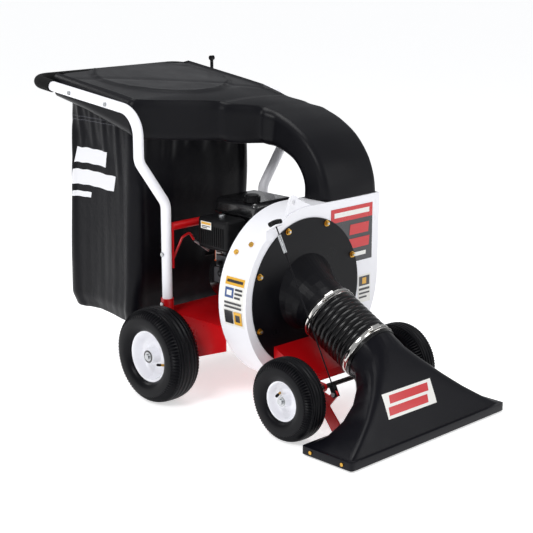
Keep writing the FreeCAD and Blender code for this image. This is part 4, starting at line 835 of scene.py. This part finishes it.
def bag_shell():
    """Coated fabric bag: a lofted shell hung from its rim, settled by cloth simulation."""
    low, high = ends("bag")
    size = high - low
    table = ((0, 0.113, 0.968, 0.019, 0.982), (0.35, 0.045, 1.0, 0.005, 1.0),
             (0.75, 0.009, 0.968, 0.0, 1.0), (0.93, 0.0, 0.919, 0.002, 0.993),
             (1, 0.023, 0.878, 0.03, 0.965))
    cell = sizes().bag_cell
    rows, per_side = int(size.z / cell), 40
    rng = random.Random(11)
    gathers = [(rng.randint(5, 40), rng.uniform(0, 6.3), rng.uniform(0.3, 1.0),
                rng.uniform(-9, 9)) for _ in range(10)]
    rings = []
    for row in range(rows + 1):
        t = row / rows
        for a, b in zip(table, table[1:]):
            if a[0] <= t <= b[0]:
                f = (t - a[0]) / (b[0] - a[0])
                f = f * f * (3 - 2 * f) * 0.5 + f * 0.5
                x0, x1, y0, y1 = (a[i] + (b[i] - a[i]) * f for i in range(1, 5))
        x0, x1 = low.x + size.x * x0, low.x + size.x * x1
        y0, y1 = low.y + size.y * y0, low.y + size.y * y1
        bend = 0.045
        ring = []
        corners = ((x1 - bend, y0 + bend, -90), (x1 - bend, y1 - bend, 0),
                   (x0 + bend, y1 - bend, 90), (x0 + bend, y0 + bend, 180))
        for number, (cx, cy, start) in enumerate(corners):
            nx, ny, _ = corners[(number + 1) % 4]
            for q in range(6):
                angle = math.radians(start + 90 * q / 6)
                ring.append(Vector((cx + bend * math.cos(angle), cy + bend * math.sin(angle), 0)))
            angle = math.radians(start + 90)
            first = Vector((cx + bend * math.cos(angle), cy + bend * math.sin(angle), 0))
            second = Vector((nx + bend * math.cos(angle), ny + bend * math.sin(angle), 0))
            for q in range(per_side):
                ring.append(first.lerp(second, q / per_side))
        z = high.z - size.z * t
        count = len(ring)
        for k, p in enumerate(ring):
            around = 2 * math.pi * k / count
            fall = math.exp(-((t - 0.05) / 0.085) ** 2) + 0.10
            wave = sum(w * math.sin(n * around + phase + lean * t)
                       for n, phase, w, lean in gathers)
            hang = math.sin(around * 3 + 1.0) * 0.006 * t
            centre = Vector(((x0 + x1) / 2, (y0 + y1) / 2, 0))
            away = (p - centre).normalized()
            crease = 0.004 * math.exp(-((t - 0.115 - 0.012 * math.sin(around * 5)) / 0.012) ** 2)
            pull = -0.0042 * fall * (wave * 0.5 + 1.0) * min(1.0, t / 0.02) + hang - crease
            drop = 0.0
            if t > 0.9:
                drop = (0.006 * math.sin(around * 2 + 0.6)) * (t - 0.9) / 0.1
            ring[k] = Vector((p.x, p.y, 0)) + away * pull + Vector((0, 0, z - drop * 0.5 + 0.003))
        rings.append(ring)
    centre = sum(rings[-1], Vector()) / count
    for shrink in (0.9, 0.75, 0.6, 0.45, 0.3, 0.15):
        rings.append([centre + (p - centre) * shrink + Vector((0, 0, 0.004 * (1 - shrink)))
                      for p in rings[-1 if shrink == 0.9 else rows]])
    points, faces = skin(rings)
    points.append(centre + Vector((0, 0, 0.004)))
    last = (len(rings) - 1) * count
    faces += [[last + k, last + (k + 1) % count, len(points) - 1] for k in range(count)]
    mesh = mesh_of("bag_cloth", points, faces)
    charted(mesh, rings, count, low, high)
    cloth = linked("bag_cloth", mesh)
    inside = (low + high) / 2
    turn_outward(cloth, lambda point: point - inside)
    settle_cloth(cloth, points, count, low, high)
    soft = cloth.modifiers.new("soft", "SUBSURF")
    soft.levels = soft.render_levels = 1
    thick = cloth.modifiers.new("cloth_thickness", "SOLIDIFY")
    thick.thickness, thick.offset = 0.0016, -1.0
    apply_modifiers(cloth)
    mesh = cloth.data
    bpy.data.objects.remove(cloth)
    return settle("bag_body", mesh, fabric_material(), "chassis", ("bag",), sharp=60)


def charted(mesh, rings, count, low, high):
    """A flat chart in metres: across from the right side's rear corner, down from the hem."""
    layer = mesh.uv_layers.new(name="pattern")
    # the corner where the rear side turns into the right side starts the last quarter
    start = (count // 4) * 3
    for face in mesh.polygons:
        across = [((mesh.loops[i].vertex_index % count - start) % count) / count * BAG_GIRTH
                  for i in face.loop_indices]
        if max(across) - min(across) > 1.0:
            across = [a + BAG_GIRTH if a < 1.0 else a for a in across]
        for i, a in zip(face.loop_indices, across):
            row = mesh.loops[i].vertex_index // count
            layer.data[i].uv = (a, row * (high.z - low.z) / (len(rings) - 7))


def settle_cloth(cloth, points, count, low, high):
    """Lets the bag sag from its rim for under a second of time, then caps how far it moved."""
    pinned = cloth.vertex_groups.new(name="rim")
    pinned.add(list(range(count * 2)), 1.0, "REPLACE")
    for row in range(2, 7):
        pinned.add(list(range(count * row, count * (row + 1))), 0.5 / row, "REPLACE")
    modifier = cloth.modifiers.new("cloth", "CLOTH")
    rules = modifier.settings
    rules.quality = 5
    rules.mass = 0.35
    rules.tension_stiffness = rules.compression_stiffness = 12
    rules.shear_stiffness = 4
    rules.bending_stiffness = 3.0
    rules.vertex_group_mass = "rim"
    rules.shrink_min = -0.02
    rules.use_pressure = True
    rules.uniform_pressure_force = 0.6
    modifier.collision_settings.use_collision = False
    scene = bpy.context.scene
    for number in range(1, 23):
        scene.frame_set(number)
    seen = bpy.context.evaluated_depsgraph_get()
    shape = cloth.evaluated_get(seen).to_mesh()
    settled = [v.co.copy() for v in shape.vertices]
    cloth.evaluated_get(seen).to_mesh_clear()
    cloth.modifiers.remove(modifier)
    scene.frame_set(1)
    room = sizes().bag_swell
    margin = Vector((0.008, 0.008, 0.006))
    floor, roof = low - margin, high + margin
    for vertex, start, end in zip(cloth.data.vertices, points, settled):
        step = end - start
        if step.length > room:
            step *= room / step.length
        at = start + step
        vertex.co = Vector(min(max(v, a), b) for v, a, b in zip(at, floor, roof))
    cloth.data.update()


# ------------------------------------------------------------------ hose, clamps, nozzle
def hose_shell():
    """Corrugated hose between the clamps, with a plain cuff at each end."""
    low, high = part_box("hose")
    length = (HOSE_END - HOSE_TOP).length
    cuff = 0.016
    ribs = sizes().hose_ribs
    pitch = (length - 2 * cuff) / ribs
    neck = span("clamp_upper").y / 2 - 0.0022
    crest = (Vector(high) - Vector(low)).y / 2 - 0.0005
    profile = []
    for step in range(13):
        t = step / 12
        lobe = abs(math.sin(math.pi * t)) ** 0.55
        profile.append((neck - 0.002 + (crest - neck + 0.002) * lobe, pitch * t))
    one = lathe(profile, Vector(), HOSE_AXIS, 96, False, toward=(0, 1, 0))
    made = repeated("hose_ribs", one, finishes()["hose"], None, ribs, HOSE_TOP + HOSE_AXIS * cuff,
                    shift=HOSE_AXIS * pitch, stands_for=("hose",), sharp=70, weld=2e-5)
    turn_outward(made, from_hose_axis)
    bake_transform(made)
    for name, at, body, way in (("hose_cuff_upper", HOSE_TOP, "chassis", 1),
                                ("hose_cuff_lower", HOSE_END, "nozzle_assembly", -1)):
        shape = lathe([(neck, -0.020 * way), (neck + 0.0012, -0.019 * way),
                       (neck + 0.0012, cuff * way), (neck - 0.002, (cuff + 0.002) * way),
                       (neck - 0.003, -0.020 * way)], at, HOSE_AXIS, 96, True,
                      toward=(0, 1, 0))
        piece(name, *shape, finishes()["hose"], body)
    return made


def from_hose_axis(point):
    """The way from the hose's axis to a point."""
    away = point - HOSE_TOP
    return away - HOSE_AXIS * away.dot(HOSE_AXIS)


def clamp_set(node, angle):
    """Polished band with rolled edges, slots and a raised worm housing with its screw."""
    centre, body = middle(node), HOME[node]
    radius = span(node).y / 2 + 0.0008
    axis, u, v = basis(HOSE_AXIS, (0, 1, 0))
    w = 0.0088
    band = lathe([(radius - .0012, -w), (radius + .0004, -w), (radius + .0010, -w + .0012),
                  (radius, -w + .003), (radius, w - .003), (radius + .0010, w - .0012),
                  (radius + .0004, w), (radius - .0012, w)], centre, axis, 96, True,
                 toward=(0, 1, 0))
    piece(node + "_band", *band, finishes()["stainless"], body, (node,))
    out = u * math.cos(angle) + v * math.sin(angle)
    along = axis.cross(out)
    turn = Matrix((along, axis, out)).transposed()
    seat = centre + out * (radius + 0.0055)
    body_block = block(seat, (0.034, 0.015, 0.011), turn, 0.2)
    screw = lathe([(0, 0), (.0052, 0), (.0052, .010), (.0044, .0115), (.0044, .016),
                   (.0034, .018), (0, .018)], seat + along * 0.016, along, 14, False)
    piece(node + "_worm", *joined(body_block, screw), finishes()["stainless"], body, weld=1e-5)
    one = block(out * radius, (0.0022, 0.0085, 0.0012), turn, 0.1)
    repeated(node + "_slots", one, finishes()["dark_steel"], body, 26, centre, axis,
             math.radians(-4.2), sharp=30)


def nozzle_shell():
    """The nozzle's own skin with its edges rounded off."""
    mesh = NODES["nozzle"].data.copy()
    work = bmesh.new()
    work.from_mesh(mesh)
    bmesh.ops.remove_doubles(work, verts=work.verts, dist=1e-5)
    bmesh.ops.dissolve_limit(work, angle_limit=math.radians(0.8), verts=work.verts,
                             edges=work.edges)
    work.to_mesh(mesh)
    work.free()
    made = settle("nozzle_shell", mesh, finishes()["nozzle"], "nozzle_assembly", ("nozzle",),
                  sharp=None)
    soft = made.modifiers.new("edges", "BEVEL")
    soft.width, soft.segments, soft.limit_method = 0.0025, 3, "ANGLE"
    soft.angle_limit = math.radians(34)
    apply_modifiers(made)
    made.data.shade_smooth()
    made.data.set_sharp_from_angle(angle=math.radians(32))
    return made


# ------------------------------------------------------------------ labels
def housing_labels():
    """Plain printed panels, with blocks and bars in place of any words."""
    ink = finishes()
    face = PLATE_FACE
    left = HOUSING_HIGH.y
    chute_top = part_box("housing_front_plate")[1][2]
    # tall panel on the chute's front: red head over a dark body with a pale figure
    sticker("chute_panel", "housing_front_plate",
            (face, left - 0.252, chute_top - 0.030), (0, 0.214, 0), (0, 0, -0.204),
            (-1, 0, 0),
            [(0, 0, 1, .985, 0, "label_dark"), (0, 0, 1, .235, 0, "label_red"),
             (.08, .07, .92, .155, 0, "label_white"), (.44, .32, .90, .50, .1, "label_red"),
             (.34, .57, .94, .74, .1, "label_red"), (.52, .82, .88, .89, .1, "label_white")],
            ink, "chassis")
    sticker("chute_notice", "housing_front_plate",
            (face, left - 0.108, chute_top - 0.286), (0, 0.066, 0), (0, 0, -0.102),
            (-1, 0, 0),
            [(0, 0, 1, 1, 0, "label_white"), (.08, .06, .92, .40, 0, "label_dark"),
             (.34, .12, .66, .34, 0, "label_gold"), (.08, .48, .92, .56, 0, "label_dark"),
             (.08, .64, .92, .70, 0, "label_dark"), (.08, .78, .70, .84, 0, "label_dark")],
            ink, "chassis")
    # instruction label on the drum's curved right side
    x0 = HOUSING_LOW.x + 0.018
    sticker("drum_notice", "housing_wrapper",
            (x0, HOUSING_LOW.y - 0.05, HOUSING_LOW.z + 0.412), (0.094, 0, 0), (0, 0, -0.168),
            (0, 1, 0),
            [(0, 0, 1, 1, 0, "label_white"), (.03, .02, .97, .17, 0, "label_gold"),
             (.10, .065, .90, .12, 0, "label_dark"), (.07, .22, .50, .42, 0, "label_blue"),
             (.16, .27, .41, .37, 0, "label_white"), (.56, .22, .93, .26, 0, "label_dark"),
             (.56, .30, .93, .34, 0, "label_dark"), (.56, .38, .85, .42, 0, "label_dark"),
             (.07, .50, .93, .54, 0, "label_dark"), (.07, .58, .93, .62, 0, "label_dark"),
             (.07, .68, .48, .94, 0, "label_dark"), (.54, .68, .93, .94, 0, "label_gold"),
             (.62, .74, .85, .88, 0, "label_dark")],
            ink, "chassis", cells=(10, 24))
    # nozzle label: white ground with slanted red bars
    low, high = ends("nozzle")
    centre_y = (low.y + high.y) / 2
    sticker("nozzle_panel", "nozzle",
            (high.x - 0.102, centre_y - 0.145, low.z + 0.156), (0.004, 0.236, 0.0),
            (0.050, -0.010, -0.064), (-0.84, 0, -0.54),
            [(0, 0, 1, 1, .02, "label_white"), (.10, .12, .90, .44, .08, "label_red"),
             (.06, .56, .86, .88, .08, "label_red")],
            ink, "nozzle_assembly", cells=(28, 12), lift=0.0009)


def air_cleaner_trim(ink):
    """Moulded ribs on the cover and the knob that holds it."""
    low, high = ends("air_cleaner")
    rib = block(Vector(), (0.0035, 0.003, (high.z - low.z) * 0.62), None, 0.3)
    repeated("air_cleaner_ribs", rib, ink["plastic"], "chassis", 11,
             (low.x + 0.020, low.y - 0.0012, (low.z + high.z) / 2 - 0.006),
             shift=(0.0108, 0, 0))
    knob = lathe([(0, .010), (.010, .010), (.012, .008), (.012, 0)], Vector(
        ((low.x + high.x) / 2, low.y + 0.045, high.z)), (0, 0, 1), 20, False)
    piece("air_cleaner_knob", *knob, ink["zinc"], "chassis", weld=1e-6)


def tank_trim(ink):
    """Welded flange round the tank's middle, and the grips of its cap."""
    centre, half = middle("fuel_tank"), span("fuel_tank") / 2
    ring = []
    z = centre.z - 0.006
    for cx, cy, start in ((1, -1, -90), (1, 1, 0), (-1, 1, 90), (-1, -1, 180)):
        for q in range(7):
            angle = math.radians(start + 15 * q)
            ring.append(Vector((centre.x + cx * (half.x - .022) + .025 * math.cos(angle),
                                centre.y + cy * (half.y - .022) + .025 * math.sin(angle), z)))
    ring.append(ring[0])
    piece("tank_seam", *pipe(ring, 0.0028, 8), ink["gloss_black"], "chassis")
    cap, cap_foot = middle("fuel_cap"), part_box("fuel_cap")[0][2]
    grip = block(Vector((span("fuel_cap").x / 2, 0, 0)), (0.004, 0.003, 0.015), None, 0.2)
    repeated("filler_cap_grips", grip, ink["plastic"], HOME["fuel_cap"], 24,
             (cap.x, cap.y, cap_foot + 0.010), (0, 0, 1), math.radians(15))


def recoil_trim(ink):
    """Ring of cooling slots and a plain badge on the pull-start cover."""
    hub, cover_x = middle("crankshaft"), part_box("engine_shroud")[0][0]
    slot = block(Vector((0, 0, 0.052)), (0.0016, 0.0055, 0.034), None, 0.2)
    repeated("recoil_slots", slot, ink["dark_steel"], "chassis", 26,
             (cover_x, hub.y, hub.z), (1, 0, 0), math.radians(360 / 26))
    badge = lathe([(0, .0018), (.022, .0018), (.024, 0)], Vector((cover_x, hub.y, hub.z)),
                  (-1, 0, 0), 36, False)
    piece("recoil_badge", *badge, ink["stainless"], "chassis", weld=1e-6)


def muffler_trim(ink):
    """Pressed louvres of the silencer's guard."""
    low, high = ends("muffler")
    louvre = block(Vector(), (0.012, 0.003, 0.003), None, 0.3)
    repeated("muffler_louvres", louvre, ink["dark_steel"], "chassis", 7,
             (low.x + 0.018, high.y - 0.019, low.z + 0.058), shift=(0.0155, 0, 0))


def engine_labels(ink):
    """Two plain labels, with blocks and bars in place of any words."""
    low, high = ends("air_cleaner")
    shroud_low, shroud_high = ends("engine_shroud")
    sticker("engine_notice", "air_cleaner", (low.x + 0.022, low.y - 0.01, high.z - 0.012),
            (0.052, 0, 0), (0, 0, -0.026), (0, 1, 0),
            [(0, 0, 1, 1, 0, "label_white"), (.05, .08, .95, .40, 0, "label_gold"),
             (.10, .55, .90, .66, 0, "label_dark"), (.10, .76, .62, .86, 0, "label_dark")],
            ink, "chassis", cells=(8, 6), lift=0.0036)
    sticker("shroud_notice", "engine_shroud",
            (shroud_low.x + 0.030, shroud_low.y - 0.02, shroud_high.z - 0.040),
            (0.046, 0, 0), (0, 0, -0.060), (0, 1, 0),
            [(0, 0, 1, 1, 0, "label_orange"), (.08, .30, .92, .94, 0, "label_white"),
             (.16, .38, .84, .46, 0, "label_dark"), (.16, .56, .84, .64, 0, "label_dark"),
             (.16, .74, .60, .82, 0, "label_dark")],
            ink, "chassis", cells=(6, 10))


def engine_details():
    """Ribs, slots, caps and labels that dress the engine."""
    for dress in (air_cleaner_trim, tank_trim, recoil_trim, muffler_trim, engine_labels):
        dress(finishes())


def handle_trim():
    """Black ties that hold the control cable to the left tube."""
    tube, brace = 0.0175, middle("handle_brace")
    tie = lathe([(tube, -.0024), (tube + .0016, -.0024), (tube + .0016, .0024),
                 (tube, .0024)], Vector(), (0, 0, 1), 28)
    repeated("leg_cable_ties", tie, finishes()["plastic"], "chassis", 2,
             (brace.x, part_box("handle_left")[0][1] + tube, brace.z + 0.065),
             shift=(0, 0, -0.05))


def lift_knob():
    """Seven-lobed moulded knob with a domed top and a brass insert."""
    node = "adjuster_knob"
    centre = middle(node)
    axis = (middle("adjuster_knob") - middle("clevis_pin")).normalized()
    size = span(node)
    radius = size.y / 2

    def relief(number, k):
        wave = math.cos(7 * 2 * math.pi * k / 112)
        return weights[number] * 0.0030 * wave

    profile = [(.0052, -.0075), (radius - .006, -.0075), (radius - .0042, -.0062),
               (radius - .0032, -.002), (radius - .0032, .003), (radius - .0045, .0062),
               (radius - .008, .0078), (.012, .0088), (.0052, .0082)]
    weights = [0, .6, .9, 1, 1, .9, .5, 0, 0]
    shape = lathe(profile, centre, axis, 112, True, relief, toward=(0, 1, 0))
    piece("lift_knob_lobes", *shape, finishes()["plastic"], HOME[node], (node,), sharp=50)
    insert = lathe([(.0035, .004), (.0050, .004), (.0050, .0098), (.0035, .0098)], centre, axis,
                   24)
    piece("lift_knob_insert", *insert, finishes()["brass"], HOME[node])


# ------------------------------------------------------------------ operators
class MULCHER_OT_finish_frame(bpy.types.Operator):
    """Gives every frame node the finish of its material slot"""
    bl_idname = "mulcher.finish_frame"
    bl_label = "Finish the frame"

    def execute(self, context):
        made = finishes()
        for name, node in NODES.items():
            node.data.materials.clear()
            node.data.materials.append(made[SLOT_FINISH[SLOT_OF[name]]])
            node.data.shade_smooth()
            node.data.set_sharp_from_angle(angle=math.radians(30))
        for name in ("front_axle", "rear_axle"):
            NODES[name].data.materials[0] = made["dark_steel"]
        NODES["adjuster_rod"].data.materials[0] = made["black_coat"]
        return {"FINISHED"}


class MULCHER_OT_wheels(bpy.types.Operator):
    """Builds the four tyres and dished rims"""
    bl_idname = "mulcher.wheels"
    bl_label = "Wheels"

    def execute(self, context):
        for wheel in WHEELS:
            tyre(wheel)
            rim(wheel)
        return {"FINISHED"}


class MULCHER_OT_hood(bpy.types.Operator):
    """Builds the moulded hood"""
    bl_idname = "mulcher.hood"
    bl_label = "Hood"

    def execute(self, context):
        hood_shell()
        return {"FINISHED"}


class MULCHER_OT_bag(bpy.types.Operator):
    """Builds the fabric bag and lets it settle"""
    bl_idname = "mulcher.bag"
    bl_label = "Bag"

    def execute(self, context):
        bag_shell()
        return {"FINISHED"}


class MULCHER_OT_hose(bpy.types.Operator):
    """Builds the ribbed hose and its two clamps"""
    bl_idname = "mulcher.hose"
    bl_label = "Hose and clamps"

    def execute(self, context):
        hose_shell()
        clamp_set("clamp_upper", math.radians(118))
        clamp_set("clamp_lower", math.radians(100))
        return {"FINISHED"}


class MULCHER_OT_nozzle(bpy.types.Operator):
    """Builds the floor nozzle's skin"""
    bl_idname = "mulcher.nozzle"
    bl_label = "Nozzle"

    def execute(self, context):
        nozzle_shell()
        return {"FINISHED"}


class MULCHER_OT_labels(bpy.types.Operator):
    """Lays the plain printed labels"""
    bl_idname = "mulcher.labels"
    bl_label = "Labels"

    def execute(self, context):
        housing_labels()
        return {"FINISHED"}


class MULCHER_OT_engine(bpy.types.Operator):
    """Adds the engine's ribs, slots, cap grips and labels"""
    bl_idname = "mulcher.engine"
    bl_label = "Engine details"

    def execute(self, context):
        engine_details()
        return {"FINISHED"}


class MULCHER_OT_handle(bpy.types.Operator):
    """Adds the cable ties and the lobed height knob"""
    bl_idname = "mulcher.handle"
    bl_label = "Handle and knob"

    def execute(self, context):
        handle_trim()
        lift_knob()
        return {"FINISHED"}


class MULCHER_OT_stage(bpy.types.Operator):
    """Sets the pale floor, the soft lights and the camera"""
    bl_idname = "mulcher.stage"
    bl_label = "Stage"

    def execute(self, context):
        reach = 60.0
        floor_mesh = mesh_of("studio_floor", [(-reach, -reach, 0), (reach, -reach, 0),
                                              (reach, reach, 0), (-reach, reach, 0)],
                             [[0, 1, 2, 3]])
        floor = linked("studio_floor", floor_mesh)
        paint = finish("studio_floor_paint", colour_of("FAFAFA"), 0.75, grain=4.0,
                       mottle=0.004, specular=0.2)
        glow = paint.node_tree.nodes["Principled BSDF"].inputs
        glow["Emission Color"].default_value = (1.0, 1.0, 1.0, 1.0)
        glow["Emission Strength"].default_value = 0.57
        floor_mesh.materials.append(paint)
        world = bpy.data.worlds.new("soft_sky")
        world.use_nodes = True
        background = world.node_tree.nodes["Background"]
        background.inputs["Color"].default_value = (0.96, 0.975, 1.0, 1.0)
        background.inputs["Strength"].default_value = sizes().sky
        context.scene.world = world
        for name, at, size, power in (("key_light", (1.2, -3.6, 3.6), 1.5, 84.0),
                                      ("fill_light", (3.8, 2.4, 2.4), 2.2, 34.0),
                                      ("top_light", (-0.6, 0.2, 3.8), 1.8, 46.0),
                                      ("rim_light", (-3.4, -1.4, 2.6), 1.2, 30.0)):
            light = bpy.data.lights.new(name, "AREA")
            light.energy, light.size = power, size
            lamp = linked(name, light)
            lamp.location = at
            lamp.rotation_euler = (Vector((0, 0, 0.45)) - Vector(at)).to_track_quat(
                "-Z", "Y").to_euler()
        eye, aim = Vector((3.3016, -3.1872, 1.6060)), Vector((0.0774, -0.0210, 0.4521))
        lens = bpy.data.cameras.new("view_camera")
        lens.lens, lens.sensor_width = sizes().lens, 36.0
        lens.clip_start, lens.clip_end = 0.05, 100.0
        camera = linked("view_camera", lens)
        camera.location = eye
        camera.rotation_euler = (aim - eye).to_track_quat("-Z", "Y").to_euler()
        context.scene.camera = camera
        context.scene.view_settings.view_transform = "Standard"
        return {"FINISHED"}


OPERATORS = (MULCHER_OT_finish_frame, MULCHER_OT_wheels, MULCHER_OT_hood, MULCHER_OT_bag,
             MULCHER_OT_hose, MULCHER_OT_nozzle, MULCHER_OT_labels, MULCHER_OT_engine,
             MULCHER_OT_handle, MULCHER_OT_stage)


class MULCHER_PT_panel(bpy.types.Panel):
    """Lists the machine's pieces in the sidebar"""
    bl_idname = "MULCHER_PT_panel"
    bl_label = "Leaf vacuum mulcher"
    bl_space_type = "VIEW_3D"
    bl_region_type = "UI"
    bl_category = "Mulcher"

    def draw(self, context):
        for operator in OPERATORS:
            self.layout.operator(operator.bl_idname)
        for group in (context.scene.mulcher_sizes, context.scene.mulcher_colours):
            for name in group.__annotations__:
                self.layout.prop(group, name)


CLASSES = (MulcherColours, MulcherSizes) + OPERATORS + (MULCHER_PT_panel,)


def register():
    for made in CLASSES:
        bpy.utils.register_class(made)
    bpy.types.Scene.mulcher_colours = bpy.props.PointerProperty(type=MulcherColours)
    bpy.types.Scene.mulcher_sizes = bpy.props.PointerProperty(type=MulcherSizes)


def unregister():
    del bpy.types.Scene.mulcher_sizes
    del bpy.types.Scene.mulcher_colours
    for made in reversed(CLASSES):
        bpy.utils.unregister_class(made)


def main():
    """Builds every piece in order."""
    register()
    for name in ("finish_frame", "wheels", "hood", "bag", "hose", "nozzle", "labels", "engine",
                 "handle", "stage"):
        getattr(bpy.ops.mulcher, name)()


if __name__ == "__main__":
    main()
